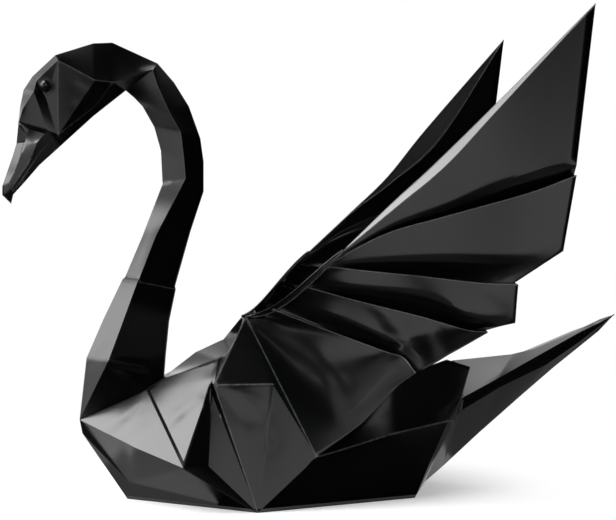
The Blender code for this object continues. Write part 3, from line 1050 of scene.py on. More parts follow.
@dataclass
class Tail:
    """The tail: a long closed spike with a lit top and two dark flanks."""

    tip: SideView = (121.5, 52.5)
    ridge: tuple[SideView, ...] = (
        (62.5, 38.5), (83.5, 40.0), (91.0, 41.5), (106.5, 47.0), (116.0, 51.0),
    )
    rim: tuple[SideView, ...] = (
        (59.5, 28.0), (74.0, 33.5), (90.0, 40.0), (107.0, 47.0), (116.0, 50.2),
    )
    lower: tuple[SideView, ...] = (
        (58.0, 24.0), (73.5, 30.5), (92.5, 37.0), (107.0, 44.0), (115.5, 49.0),
    )
    keel: tuple[SideView, ...] = (
        (59.0, 4.5), (72.0, 15.0), (87.0, 26.5), (99.0, 35.5), (115.5, 47.0),
    )
    shares: tuple[float, ...] = (0.0, 0.3, 0.6, 0.87, 1.0)
    foot_half: float = 15.5
    tip_half: float = 1.2
    rim_inset: float = 0.9

    def panels(self, hull: Hull) -> list[Panel]:
        """The tail's panels, and the two that close it against the hull.

        Half widths shrink from the tail's foot to its tip by the shares. The rim lies inside
        the lower edge.

        Args:
            hull: The hull that the tail grows from.

        Returns:
            The panels on the left side, each as its corners.
        """
        halves = tuple(self.foot_half + (self.tip_half - self.foot_half) * s for s in self.shares)
        inset = tuple(half * self.rim_inset for half in halves)
        ridge, keel = line(self.ridge), line(self.keel)
        rim, lower = line(self.rim, inset), line(self.lower, halves)
        rump, rear = at(hull.rump, hull.rump_half), hull.corners()[3]
        lines = (ridge, rim, lower, keel)
        panels = [panel for pair in zip(lines, lines[1:]) for panel in strip_panels(*pair)]
        panels += [(rump, rear, keel[0]), (rump, keel[0], lower[0])]
        tip = at(self.tip)
        return panels + [(above[-1], below[-1], tip) for above, below in zip(lines, lines[1:])]


@dataclass
class Wing:
    """A wing: a leading edge with a hem, four pleats, two soft dents and a seam with the hull.

    Each row of places, widths or shares runs from the wing's root to its trailing edge. The two
    wings differ in their hems: how wide each is, and by how many degrees it is tilted up.
    """

    leading: tuple[SideView, ...] = (
        (19.5, 73.5), (35.5, 87.0), (49.5, 99.0), (65.0, 116.0), (96.0, 149.0),
    )
    leading_root_half: float = 17.5
    root_halves: tuple[float, ...] = (17.0, 16.6, 13.7, 9.5)
    soft_folds: tuple[tuple[SideView, ...], ...] = (
        ((17.2, 71.5), (31.5, 80.0), (49.5, 86.0), (67.0, 93.0), (89.5, 99.5)),
        ((15.5, 69.7), (30.0, 70.5), (48.0, 71.0), (71.5, 71.0), (85.0, 73.5)),
        ((10.0, 64.5), (22.5, 62.0), (44.0, 59.5), (55.0, 53.0), (69.0, 52.0)),
        ((2.5, 57.5), (16.0, 53.5), (33.5, 46.0), (36.5, 43.5), (38.5, 38.5)),
    )
    crisp_folds: tuple[tuple[SideView, ...], ...] = (
        ((16.0, 70.0), (31.5, 78.5), (50.0, 84.0), (75.0, 91.0), (89.5, 96.5)),
        ((14.0, 69.0), (27.0, 67.5), (41.5, 66.0), (59.0, 64.0), (70.0, 63.5)),
        ((8.5, 63.0), (22.5, 59.0), (42.0, 54.0), (55.0, 50.0), (60.0, 49.5)),
        ((0.0, 56.0), (16.5, 49.5), (32.0, 43.5), (35.5, 42.0), (37.0, 38.0)),
    )
    dent_root_halves: tuple[float, ...] = (5.0, 4.0)
    dents: tuple[tuple[SideView, ...], ...] = (
        ((-2.5, 54.5), (8.0, 46.5), (18.5, 39.0), (25.5, 34.0), (32.0, 35.0)),
        ((-4.5, 54.0), (3.5, 42.0), (10.5, 32.5), (16.0, 25.5), (20.5, 24.0)),
    )
    front: SideView = (-6.5, 53.5)
    front_half: float = 2.5
    bottom: SideView = (7.0, 15.0)
    spread_half: float = 31.5
    pleat_depths: tuple[float, ...] = (3.6, 6.0, 4.2, 3.0)
    pleat_overlap: float = 0.5
    pleat_rake: float = 0.3
    pleat_shares: tuple[float, ...] = (0.0, 0.5, 0.85, 1.0, 0.9)
    valley_root_share: float = 0.4
    hem_widths: dict[Side, tuple[float, ...]] = field(default_factory=lambda: {
        Side.LEFT: (0.1, 5.2, 8.0, 4.8, 0.3), Side.RIGHT: (0.1, 0.5, 2.8, 6.6, 0.2),
    })
    hem_tilts: dict[Side, float] = field(default_factory=lambda: {
        Side.LEFT: 7.0, Side.RIGHT: -50.0,
    })
    hem_rows: int = 6
    fewest_rows: int = 2
    most_rows: int = 18
    root_degree: int = 3
    root_end_power: int = 8
    root_width: float = 1.0
    root_least_width: float = 0.02
    root_tuck: float = 0.7
    root_outer_tuck: float = 0.63
    root_fold_share: float = 0.7
    soft_puffs: tuple[float, ...] = (0.0, 0.0, 1.7, 1.2)
    puff_shares: tuple[float, ...] = (0.0, 1.0, 0.9, 0.4, 0.0)
    crease_samples: int = 33
    soft_rounding: float = 1.7
    dent_rounding: float = 9.0
    # Pale lines painted along these folds, partly worn paper and partly painted highlight
    leading_wear_and_highlight: float = 0.15
    seam_wear_and_highlight: float = 0.35
    hem_wear_and_highlight: float = 0.6
    crisp_wear_and_highlight: float = 0.4

    def crease(self, places: tuple[SideView, ...], root_half: float) -> Grid:
        """A crease whose half width grows evenly from its root to the trailing edge."""
        return line(places, tuple(np.linspace(root_half, self.spread_half, len(places))))

    def seam(self) -> Grid:
        """The line where the wing joins the side panel, in as many even places as a crease."""
        first, last = at(self.front, self.front_half), at(self.bottom, self.spread_half)
        return first + (last - first) * np.linspace(0, 1, len(self.leading))[:, None]

    def rows(self) -> list[Grid]:
        """Every crease of the wing, from the leading edge down to the seam.

        The valley under a pleat is its ridge moved inwards by the pleat's depth times a share
        for each place, and its root lies between the roots of the soft fold and the ridge.

        Returns:
            The leading edge, then for each pleat its soft fold, valley and ridge, then the dents
            and the seam.
        """
        rows = [self.crease(self.leading, self.leading_root_half)]
        pleats = zip(self.root_halves, self.soft_folds, self.crisp_folds, self.pleat_depths,
                     self.soft_puffs)
        for half, soft, crisp, depth, puff in pleats:
            swollen = np.array((0, -puff, 0)) * np.array(self.puff_shares)[:, None]
            rows.append(self.crease(soft, half) + swollen)
            ridge = self.crease(crisp, half)
            tuck = np.array((depth * self.pleat_rake, depth, self.pleat_overlap))
            valley = ridge + tuck * np.array(self.pleat_shares)[:, None]
            valley[0] = ridge[0] + (rows[-1][0] - ridge[0]) * self.valley_root_share
            rows += [valley, ridge]
        for half, dent in zip(self.dent_root_halves, self.dents):
            rows.append(self.crease(dent, half))
        rows.append(self.seam())
        return rows

    def columns(self) -> Grid:
        """Shares along the creases, matched to the mesh edges of the seam's runs.

        Returns:
            Even shares from 0 to 1.
        """
        seam = self.seam()
        steps = steps_along(seam[0], seam[1])
        return np.linspace(0, 1, steps * (len(seam) - 1) + 1)

    def build(self, net: PaperNet, side: Side) -> None:
        """Adds the wing to the net: a ruled grid between each crease and the next.

        Args:
            net: The net to add to.
            side: The half of the swan that it is for.
        """
        shares = self.columns()
        curves = [smooth_line(row, shares) for row in self.rows()]
        seam = self.seam()
        even = np.linspace(0, 1, len(seam))
        curves[-1] = np.stack([np.interp(shares, even, seam[:, k]) for k in range(3)], 1)
        for upper, lower in zip(curves[:-1], curves[1:]):
            widest = float(np.linalg.norm(upper - lower, axis=1).max())
            rows = int(np.clip(round(widest / SPACING), self.fewest_rows, self.most_rows))
            t = np.linspace(0, 1, rows + 1)[:, None, None]
            net.add_strip(upper * (1 - t) + lower * t, side)
        self.build_hem(net, side, curves[0], shares)
        self.build_root(net, side)

    def hem_reach(self, side: Side, crease: Grid, shares: Grid) -> Grid:
        """The way across the hem: inwards and tilted up, as long as the hem is wide.

        Args:
            side: The half of the swan that the hem is on.
            crease: The leading edge.
            shares: The shares along the leading edge that its places have.

        Returns:
            A vector for each place of the crease.
        """
        along = unit(crease[-1] - crease[0])
        outward = unit(np.array((-along[2], 0, along[0])))
        tilt = radians(self.hem_tilts[side])
        lean = np.array((0, cos(tilt), 0)) + outward * sin(tilt)
        return lean * smooth_line(np.array(self.hem_widths[side])[:, None], shares)

    def build_hem(self, net: PaperNet, side: Side, crease: Grid, shares: Grid) -> None:
        """Adds the hem: the leading edge's crease carried across it in even rows."""
        t = np.linspace(1, 0, self.hem_rows + 1)[:, None, None]
        net.add_strip(crease + self.hem_reach(side, crease, shares) * t, side)

    def root_line(self) -> Grid:
        """The wing's root from the leading edge to the deck.

        Each coordinate is a polynomial in the share of the way, fitted to the creases' first
        points. What it misses the two ends by is added with a high power of the share, so
        that it only acts near that end.

        Returns:
            Evenly spaced places, a mesh edge apart.
        """
        roots = np.array([row[0] for row in self.rows()])
        away = np.concatenate([[0], np.cumsum(np.linalg.norm(np.diff(roots, axis=0), axis=1))])
        share = away / away[-1]
        steps = np.linspace(0, 1, int(away[-1] / SPACING) + 1)
        fits = [np.polyfit(share, roots[:, k], self.root_degree) for k in range(3)]
        fitted = np.stack([np.polyval(fit, steps) for fit in fits], 1)
        first, last = roots[[0, -1]] - fitted[[0, -1]]
        near_first = (1 - steps)[:, None] ** self.root_end_power
        near_last = steps[:, None] ** self.root_end_power
        return fitted + first * near_first + last * near_last

    def root_lines(self) -> tuple[Grid, Grid, Grid]:
        """The three lines of the folded strip that binds the wing's root.

        The section is a hairpin about the root line, each leg the strip's width times
        (sin pi t)^0.5, t being the share along the root.

        Returns:
            The inner edge, the fold and the outer edge.
        """
        root = self.root_line()
        down = root[-1] - root[0]
        outward = np.array((down[2], 0, -down[0])) / np.hypot(down[0], down[2])
        outward *= np.sign(outward[2])
        arch = np.sin(np.pi * np.linspace(0, 1, len(root))).clip(self.root_least_width)
        leg = outward * self.root_width * np.sqrt(arch)[:, None]
        inner = root - leg + (0, self.root_tuck, 0)
        outer = root - leg - (0, self.root_outer_tuck, 0)
        return inner, root + leg * self.root_fold_share, outer

    def build_root(self, net: PaperNet, side: Side) -> None:
        """Adds the folded strip that binds the wing's root, from the leading edge to the deck."""
        net.add_strip(np.stack(self.root_lines()), side)

    def marks(self) -> list[Mark]:
        """Soft dents and lit ripples of the lower wing.

        Returns:
            The marks on the left side.
        """
        face, low, left = (-0.3, -0.9, 0.3), (-0.4, -0.7, 0.5), (0.0, -1.0, 0.0)
        return [
            Mark((-1.5, -6.5, 50.8), (11.5, -14.6, 42.4), 2.4, 0.16, face, Press.STEP),
            Mark((11.8, -15.4, 40.2), (15.6, -18.8, 35.4), 2.6, 0.12, face, Press.STEP),
            Mark((15.6, -18.8, 35.4), (17.4, -26.0, 24.0), 2.6, 0.20, low, Press.STEP),
            Mark((21.0, -24.0, 30.0), (27.0, -26.0, 34.5), 3.2, 0.12, low, Press.TROUGH),
            Mark((31.2, -20.1, 54.1), (33.9, -20.8, 49.6), 2.2, 0.26, face, Press.STEP),
            Mark((33.9, -20.8, 49.6), (38.0, -27.0, 43.0), 2.2, 0.26, face, Press.STEP),
            Mark((44.8, -24.4, 51.4), (45.2, -29.0, 43.7), 2.2, 0.24, face, Press.STEP),
            Mark((60.0, -27.0, 62.0), (67.0, -29.0, 56.0), 3.0, 0.18, left, Press.STEP),
        ]

    def creases(self) -> list[Crease]:
        """The wing's fold lines, soft above each pleat and crisp below it.

        Returns:
            The fold lines on the left side.
        """
        shares = np.linspace(0, 1, self.crease_samples)
        leading, *pleats = [smooth_line(row, shares) for row in self.rows()]
        _, fold, outer = self.root_lines()
        hem = leading + self.hem_reach(Side.RIGHT, leading, shares)
        creases = [
            Crease(leading, wear_and_highlight=self.leading_wear_and_highlight), Crease(self.seam(), wear_and_highlight=self.seam_wear_and_highlight),
            Crease(fold), Crease(outer, wear_and_highlight=self.seam_wear_and_highlight), Crease(hem, wear_and_highlight=self.hem_wear_and_highlight),
        ]
        for soft, ridge in zip(pleats[0:-3:3], pleats[2:-3:3]):
            creases += [Crease(soft, self.soft_rounding), Crease(ridge, wear_and_highlight=self.crisp_wear_and_highlight)]
        return creases + [Crease(dent, self.dent_rounding) for dent in pleats[-3:-1]]


@dataclass
class FoldedSheet:
    """The whole sheet of paper.

    The guards are how far from a crisp fold the rounding and the marks are at full strength.
    """

    neck: Neck = field(default_factory=Neck)
    head: Head = field(default_factory=Head)
    beak: Beak = field(default_factory=Beak)
    hull: Hull = field(default_factory=Hull)
    tail: Tail = field(default_factory=Tail)
    wing: Wing = field(default_factory=Wing)
    thickness: float = 0.3
    fold_radius: float = 0.16
    fold_angle: float = 22.0
    fold_segments: int = 2
    relax_rounds: int = 40
    crisp_guard: float = 1.3
    mark_guard: float = 2.4
    # Width and reach of the pale lines painted along the folds: worn paper and painted highlight
    wear_and_highlight_width: float = 1.2
    rub_and_highlight_reach: float = 2.0

    def surface(self) -> tuple[Grid, Grid]:
        """The welded surface of both halves before its folds are rounded.

        Returns:
            The points, and four point numbers for each face.
        """
        net = PaperNet()
        panels = self.neck.panels() + self.head.panels(self.neck) + self.beak.panels(self.head)
        panels += self.hull.breast_panels(self.neck) + self.hull.deck_panels(self.neck, self.wing)
        panels += self.hull.side_panels(self.wing) + self.hull.stern_panels(self.wing)
        panels += self.hull.base_panels() + self.tail.panels(self.hull)
        for side in Side:
            for panel in panels:
                net.add_panel(panel, side)
            self.wing.build(net, side)
        return net.welded()

    def creases(self) -> list[Crease]:
        """The fold lines of the whole sheet.

        Returns:
            Those of the left half, then those of the right.
        """
        left = self.neck.creases() + self.hull.creases(self.neck, self.wing) + self.wing.creases()
        left += self.head.creases() + self.beak.creases(self.head)
        right = [Crease(c.path * (1, -1, 1), c.rounding, c.wear_and_highlight) for c in left]
        return left + right

    def marks(self) -> list[Mark]:
        """The dents and wrinkles of the whole sheet.

        Returns:
            Those of the left half, then those of the right.
        """
        left = self.neck.marks() + self.head.marks() + self.hull.marks() + self.wing.marks()
        right = [replace(mark, start=mirrored(mark.start), end=mirrored(mark.end),
                         facing=mirrored(mark.facing)) for mark in left]
        return left + right

    def crease_fields(self, points: Grid) -> tuple[Grid, Grid, dict[str, Grid]]:
        """How near each point is to the fold lines.

        Args:
            points: The points, one a row.

        Returns:
            How soft the fold at each point is, from 0 to 1; its distance from the nearest crisp
            fold; and the two attributes of the pale fold lines, partly worn paper and partly
            painted highlight. The fold attribute falls to 0 over the line's width, and
            rub_and_highlight is the line's strength as far as that and fades over its reach.
        """
        soft, fold, rub_and_highlight = (np.zeros(len(points)) for _ in range(3))
        guard = np.full(len(points), np.inf)
        for crease in self.creases():
            away = distance_to(points, crease.path)
            if crease.rounding:
                soft = np.maximum(soft, smoothstep(1 - away / crease.rounding))
            else:
                guard = np.minimum(guard, away)
            # A pale line is painted along this fold: partly worn paper, partly painted highlight
            if crease.wear_and_highlight:
                widths = away / self.wear_and_highlight_width
                fold = np.maximum(fold, np.clip(1 - widths, 0, 1))
                rub_and_highlight = np.maximum(rub_and_highlight, crease.wear_and_highlight * np.clip(self.rub_and_highlight_reach - widths, 0, 1))
        return soft, guard, {"fold": fold, "rub_and_highlight": rub_and_highlight}

    def shaped(self, points: Grid, faces: Grid, soft: Grid, guard: Grid) -> Grid:
        """The points with soft folds rounded and marks pressed in, both fading at crisp folds.

        Args:
            points: The points, one a row.
            faces: Four point numbers for each face.
            soft: How soft the fold at each point is, from 0 to 1.
            guard: Each point's distance from the nearest crisp fold.

        Returns:
            The moved points.
        """
        weight = soft * smoothstep(guard / self.crisp_guard)
        points = relaxed(points, faces, weight, self.relax_rounds)
        normals = vertex_normals(points, faces)
        quiet = smoothstep(guard / self.mark_guard)[:, None]
        shape = points
        for mark in self.marks():
            kept = 1.0 if mark.over_folds else quiet
            shape = shape + (pressed(points, normals, mark) - points) * kept
        return shape

    def thicken(self, sheet: bpy.types.Object) -> None:
        """Rounds the sheet's fold edges and gives it its paper's thickness, inwards.

        Args:
            sheet: The sheet, still without a thickness.
        """
        edges = sheet.modifiers.new("fold radius", "BEVEL")
        edges.width = self.fold_radius * MM
        edges.segments = self.fold_segments
        edges.limit_method = "ANGLE"
        edges.angle_limit = radians(self.fold_angle)
        edges.use_clamp_overlap = True
        paper = sheet.modifiers.new("paper thickness", "SOLIDIFY")
        paper.thickness = self.thickness * MM
        paper.offset = -1
        paper.use_even_offset = False

    def build(self) -> bpy.types.Object:
        """Makes the whole sheet.

        Returns:
            The sheet with its paper's thickness, and the pale lines of its folds as attributes:
            worn paper and painted highlight.
        """
        points, faces = self.surface()
        soft, guard, wear_and_highlight = self.crease_fields(points)
        sheet = mesh_object("paper_sheet", self.shaped(points, faces, soft, guard), faces)
        # The fold attributes carry the pale painted lines: worn paper and painted highlight
        for name, values in wear_and_highlight.items():
            attribute = sheet.data.attributes.new(name, "FLOAT", "POINT")
            attribute.data.foreach_set("value", values.astype(np.float32))
        self.thicken(sheet)
        return kept_inside(sheet)


def linked(name: str, data: bpy.types.ID) -> bpy.types.Object:
    """A new object in the scene.

    Args:
        name: Its name.
        data: Its mesh, lamp or camera.

    Returns:
        The object.
    """
    thing = bpy.data.objects.new(name, data)
    bpy.context.scene.collection.objects.link(thing)
    return thing


def aim(thing: bpy.types.Object, backwards: Vector) -> None:
    """Turns a lamp or a camera so that it looks away from the direction given."""
    thing.rotation_mode = "QUATERNION"
    thing.rotation_quaternion = backwards.to_track_quat("Z", "Y")


def mesh_object(name: str, points: Grid, faces: Grid) -> bpy.types.Object:
    """A new smooth-shaded object.

    Args:
        name: The object's name.
        points: Its points, in mm.
        faces: Four point numbers for each face, the last repeated in a triangle.

    Returns:
        The object, in the scene.
    """
    triangle = faces[:, 2] == faces[:, 3]
    sizes = np.where(triangle, 3, 4)
    starts = np.concatenate([[0], np.cumsum(sizes)[:-1]])
    corners = faces[np.arange(4)[None] < sizes[:, None]]
    mesh = bpy.data.meshes.new(name)
    mesh.vertices.add(len(points))
    mesh.vertices.foreach_set("co", (points * MM).astype(np.float32).ravel())
    mesh.loops.add(len(corners))
    mesh.loops.foreach_set("vertex_index", corners.astype(np.int32))
    mesh.polygons.add(len(faces))
    mesh.polygons.foreach_set("loop_start", starts.astype(np.int32))
    mesh.update(calc_edges=True)
    mesh.validate()
    mesh.shade_smooth()
    mesh.set_sharp_from_angle(angle=radians(HARD_ANGLE))
    return linked(name, mesh)


def kept_inside(piece: bpy.types.Object) -> bpy.types.Object:
    """Applies a piece's modifiers and holds its points inside the CAD model's box.

    Args:
        piece: The piece.

    Returns:
        The same piece.
    """
    shape = piece.evaluated_get(bpy.context.evaluated_depsgraph_get())
    mesh = bpy.data.meshes.new_from_object(shape)
    places = np.empty(len(mesh.vertices) * 3, np.float32)
    mesh.vertices.foreach_get("co", places)
    low, high = np.array(CAD_BOX, np.float32)
    mesh.vertices.foreach_set("co", np.clip(places.reshape(-1, 3), low, high).ravel())
    mesh.update()
    piece.modifiers.clear()
    piece.data = mesh
    return piece


@dataclass
class EyeBead:
    """A domed black bead with a flat back, seated on the panel in front of the cheek."""

    side: Side
    head: Head = field(default_factory=Head)
    diameter: float = 2.7
    height: float = 1.2
    rim: float = 0.3
    sunk: float = 0.9
    seat_gap: float = 0.25
    seat_shares: tuple[float, float, float] = (0.18, 0.31, 0.51)
    rings: int = 20
    sides: int = 48

    def seat(self) -> tuple[Grid, Grid]:
        """The seat on the panel in front of the cheek, a gap above the paper.

        Returns:
            Its centre and its outward direction.
        """
        head = self.head
        brow = at(head.brow, head.brow_half)
        lore = at(head.lore_top, head.beak_root_half)
        fold = at(head.eye_fold, head.seat_fold_half)
        outward = unit(np.cross(lore - brow, fold - brow))
        weights = np.array(self.seat_shares)
        centre = weights @ np.stack([brow, lore, fold]) + outward * self.seat_gap
        flip = (1, self.side.value, 1)
        return centre * flip, outward * flip

    def build(self) -> bpy.types.Object:
        """Makes the bead: a profile turned round its seat's normal.

        The profile is a half ellipse over a short upright rim, closed by a flat back.

        Returns:
            The bead.
        """
        centre, outward = self.seat()
        radius = self.diameter / 2
        turn = np.linspace(0, np.pi / 2, self.rings + 1)
        reach = np.concatenate([radius * np.sin(turn), [radius, 0]])
        dome = self.rim + (self.height - self.rim) * np.cos(turn)
        lift = np.concatenate([dome, [-self.sunk, -self.sunk]])
        sideways = unit(np.cross(outward, (0, 0, 1)))
        upward = np.cross(sideways, outward)
        around = np.linspace(0, 2 * np.pi, self.sides + 1)[None, :, None]
        ring = np.cos(around) * sideways + np.sin(around) * upward
        grid = centre + lift[:, None, None] * outward + reach[:, None, None] * ring
        net = PaperNet()
        net.add_strip(grid, Side.LEFT)
        points, faces = net.welded()
        return mesh_object(f"{self.side.name.lower()}_eye_bead", points, faces)


class Wire:
    """A shader socket that can be used in arithmetic: each operator adds a Math node."""

    def __init__(self, board: Board, socket: bpy.types.NodeSocket) -> None:
        """Wraps an output socket of a node on the board."""
        self.board = board
        self.socket = socket

    def _math(self, operation: str, first: Wire | float, second: Wire | float) -> Wire:
        """A Math node on two values."""
        return self.board.wire("ShaderNodeMath", {"operation": operation}, {0: first, 1: second})

    def __add__(self, other: Wire | float) -> Wire:
        """Sum."""
        return self._math("ADD", self, other)

    def __radd__(self, other: float) -> Wire:
        """Sum with the number first."""
        return self._math("ADD", other, self)

    def __sub__(self, other: Wire | float) -> Wire:
        """Difference."""
        return self._math("SUBTRACT", self, other)

    def __mul__(self, other: Wire | float) -> Wire:
        """Product."""
        return self._math("MULTIPLY", self, other)

    def __rmul__(self, other: float) -> Wire:
        """Product with the number first."""
        return self._math("MULTIPLY", other, self)

    def at_least(self, other: Wire | float) -> Wire:
        """The larger of the two values."""
        return self._math("MAXIMUM", self, other)


class Board:
    """The nodes of one material or of the world."""

    def __init__(self, tree: bpy.types.NodeTree) -> None:
        """Clears the tree."""
        self.tree = tree
        tree.nodes.clear()

    def node(self, kind: str, settings: dict, values: dict) -> bpy.types.Node:
        """Makes a node: its type, its settings first, then the values or wires of its sockets.

        Args:
            kind: The node's type.
            settings: Attributes of the node.
            values: Socket names or numbers, with a number, a colour or a wire for each.

        Returns:
            The node.
        """
        node = self.tree.nodes.new(kind)
        for name, value in settings.items():
            setattr(node, name, value)
        for name, value in values.items():
            if isinstance(value, Wire):
                self.tree.links.new(value.socket, node.inputs[name])
            else:
                node.inputs[name].default_value = value
        return node

    def wire(self, kind: str, settings: dict, values: dict, output: str | int = 0) -> Wire:
        """Makes a node and returns one of its outputs."""
        return Wire(self, self.node(kind, settings, values).outputs[output])

    def noise(self, cells: tuple[float, float], where: Wire) -> Wire:
        """A noise value about 0.5, from its cells a metre and its detail."""
        values = dict(Vector=where, Scale=cells[0], Detail=cells[1], Roughness=NOISE_ROUGHNESS)
        return self.wire("ShaderNodeTexNoise", {}, values, "Fac")

    def object_place(self) -> Wire:
        """The place on the object, in metres."""
        return self.wire("ShaderNodeTexCoord", {}, {}, "Object")

    def attribute(self, name: str) -> Wire:
        """The value that the mesh carries under a name."""
        return self.wire("ShaderNodeAttribute", {"attribute_name": name}, {}, "Fac")

    def ramp(self, value: Wire, low: float, high: float) -> Wire:
        """0 up to one value, 1 from another, and a smooth step between."""
        values = {"Value": value, "From Min": low, "From Max": high, "To Max": 1.0}
        return self.wire("ShaderNodeMapRange", {"interpolation_type": "SMOOTHSTEP"}, values)


def new_material(name: str) -> tuple[bpy.types.Material, Board]:
    """A new material.

    Args:
        name: Its name.

    Returns:
        The material and the board of its nodes.
    """
    material = bpy.data.materials.new(name)
    material.use_nodes = True
    return material, Board(material.node_tree)


@dataclass(frozen=True)
class PaperFinish:
    """Black satin paper: near-black sheet, fine fibre, and pale lines along its folds that are
    partly worn paper and partly painted highlight.

    The sheet and its pale fold lines have a colour each. Each noise has its cells a metre and its
    detail. The pale line, partly worn paper and partly painted highlight, is the fold attribute
    between two of its values, broken by the grain, which is scaled and lowered.
    """

    sheet: tuple[float, float, float] = (0.0022, 0.0024, 0.0027)
    # Colour of the pale lines along the folds: partly worn paper, partly a painted highlight on the
    # ridges
    worn_and_highlight_colour: tuple[float, float, float] = (0.26, 0.27, 0.28)
    mottle: float = 0.35
    roughness: float = 0.245
    roughness_spread: float = 0.06
    worn_and_highlight_roughness: float = 0.15
    specular: float = 0.6
    fibre_cells: tuple[float, float] = (2600, 4)
    patch_cells: tuple[float, float] = (45, 3)
    cockle_cells: tuple[float, float] = (70, 2)
    grain_cells: tuple[float, float] = (700, 3)
    fibre_height: float = 0.010
    cockle_height: float = 0.05
    bump_strength: float = 0.6
    line_from: float = 0.66
    line_full: float = 0.98
    grain_gain: float = 1.6
    grain_drop: float = 0.1

    def material(self) -> bpy.types.Material:
        """Makes the paper's material.

        The sheet's colour is scaled by a mottle about 1, and the pale lines along the folds, partly
        worn paper and partly painted highlight, are mixed over it.

        Returns:
            The material.
        """
        material, board = new_material("black_satin_paper")
        place = board.object_place()
        fibre = board.noise(self.fibre_cells, place)
        patch = board.noise(self.patch_cells, place)
        cockle = board.noise(self.cockle_cells, place)
        grain = board.noise(self.grain_cells, place)
        # The pale lines painted along the folds, partly worn paper and partly painted highlight,
        # broken by the grain
        ridge = board.ramp(board.attribute("fold"), self.line_from, self.line_full)
        broken = grain * self.grain_gain - self.grain_drop
        worn_and_highlight_mask = ridge * board.attribute("rub_and_highlight") * broken
        shade = 1 - self.mottle / 2 + patch * self.mottle
        sheet = board.wire(
            "ShaderNodeVectorMath", {"operation": "SCALE"}, {0: self.sheet, "Scale": shade}
        )
        # The painted highlight and worn-paper lines are mixed over the sheet's colour
        colour = board.wire(
            "ShaderNodeMix", {"data_type": "RGBA"},
            {0: worn_and_highlight_mask, 6: sheet, 7: (*self.worn_and_highlight_colour, 1)}, 2,
        )
        roughness = (
            self.roughness - self.roughness_spread / 2 + patch * self.roughness_spread
            + worn_and_highlight_mask * self.worn_and_highlight_roughness
        )
        height = fibre * self.fibre_height + cockle * self.cockle_height
        bump = board.wire(
            "ShaderNodeBump", {},
            {"Height": height, "Distance": MM, "Strength": self.bump_strength}, "Normal",
        )
        values = {
            "Base Color": colour, "Roughness": roughness, "Normal": bump,
            "Specular IOR Level": self.specular,
        }
        shader = board.wire("ShaderNodeBsdfPrincipled", {}, values)
        board.node("ShaderNodeOutputMaterial", {}, {"Surface": shader})
        return material


@dataclass(frozen=True)
class BeadFinish:
    """Glossy black bead with the faintest haze of dust."""

    colour: tuple[float, float, float] = (0.004, 0.004, 0.005)
    roughness: float = 0.07
    haze: float = 0.06
    specular: float = 0.40
    speck_cells: tuple[float, float] = (1800, 3)

    def material(self) -> bpy.types.Material:
        """Makes the bead's material.

        Returns:
            The material.
        """
        material, board = new_material("glossy_black_bead")
        speck = board.noise(self.speck_cells, board.object_place())
        values = {
            "Base Color": (*self.colour, 1),
            "Roughness": self.roughness + speck * self.haze,
            "Specular IOR Level": self.specular,
        }
        shader = board.wire("ShaderNodeBsdfPrincipled", {}, values)
        board.node("ShaderNodeOutputMaterial", {}, {"Surface": shader})
        return material


@dataclass(frozen=True)
class Softbox:
    """A square lamp that looks at a place on the swan. Lengths are in metres, angles in degrees."""

    name: str
    azimuth: float
    elevation: float
    distance: float
    width: float
    radiance: float
    target: tuple[float, float, float] = PIVOT

    def light(self) -> None:
        """Makes the lamp: power is radiance times pi times its area."""
        data = bpy.data.lights.new(self.name, "AREA")
        data.shape = "SQUARE"
        data.size = self.width
        data.energy = self.radiance * np.pi * self.width**2
        lamp = linked(self.name, data)
        around, up = radians(self.azimuth), radians(self.elevation)
        away = Vector((cos(up) * cos(around), cos(up) * sin(around), sin(up)))
        lamp.location = Vector(self.target) + away * self.distance
        aim(lamp, away)
        lamp.visible_camera = False


@dataclass(frozen=True)
class Flag:
    """A black or dim card that only mirror-like rays meet, which keeps the facets dark.

    Its place and size are in millimetres, like the swan's.
    """

    name: str
    centre: Place
    facing: Place
    size: tuple[float, float]
    glow: float = 0.0

    def place(self) -> None:
        """Makes the card: a rectangle square to its facing, wide along the horizontal."""
        normal = Vector(self.facing).normalized()
        turn = normal.to_track_quat("Z", "Y")
        half_width, half_height = self.size[0] / 2, self.size[1] / 2
        corners = [
            Vector(self.centre) + turn @ Vector((sx * half_width, sy * half_height, 0))
            for sx, sy in ((-1, -1), (1, -1), (1, 1), (-1, 1))
        ]
        mesh = bpy.data.meshes.new(self.name)
        mesh.from_pydata([corner * MM for corner in corners], [], [(0, 1, 2, 3)])
        card = linked(self.name, mesh)
        material, board = new_material(self.name)
        dim = board.wire("ShaderNodeEmission", {}, {"Strength": self.glow})
        board.node("ShaderNodeOutputMaterial", {}, {"Surface": dim})
        mesh.materials.append(material)
        card.visible_camera = False
        card.visible_diffuse = False
        card.visible_transmission = False
        card.visible_shadow = False


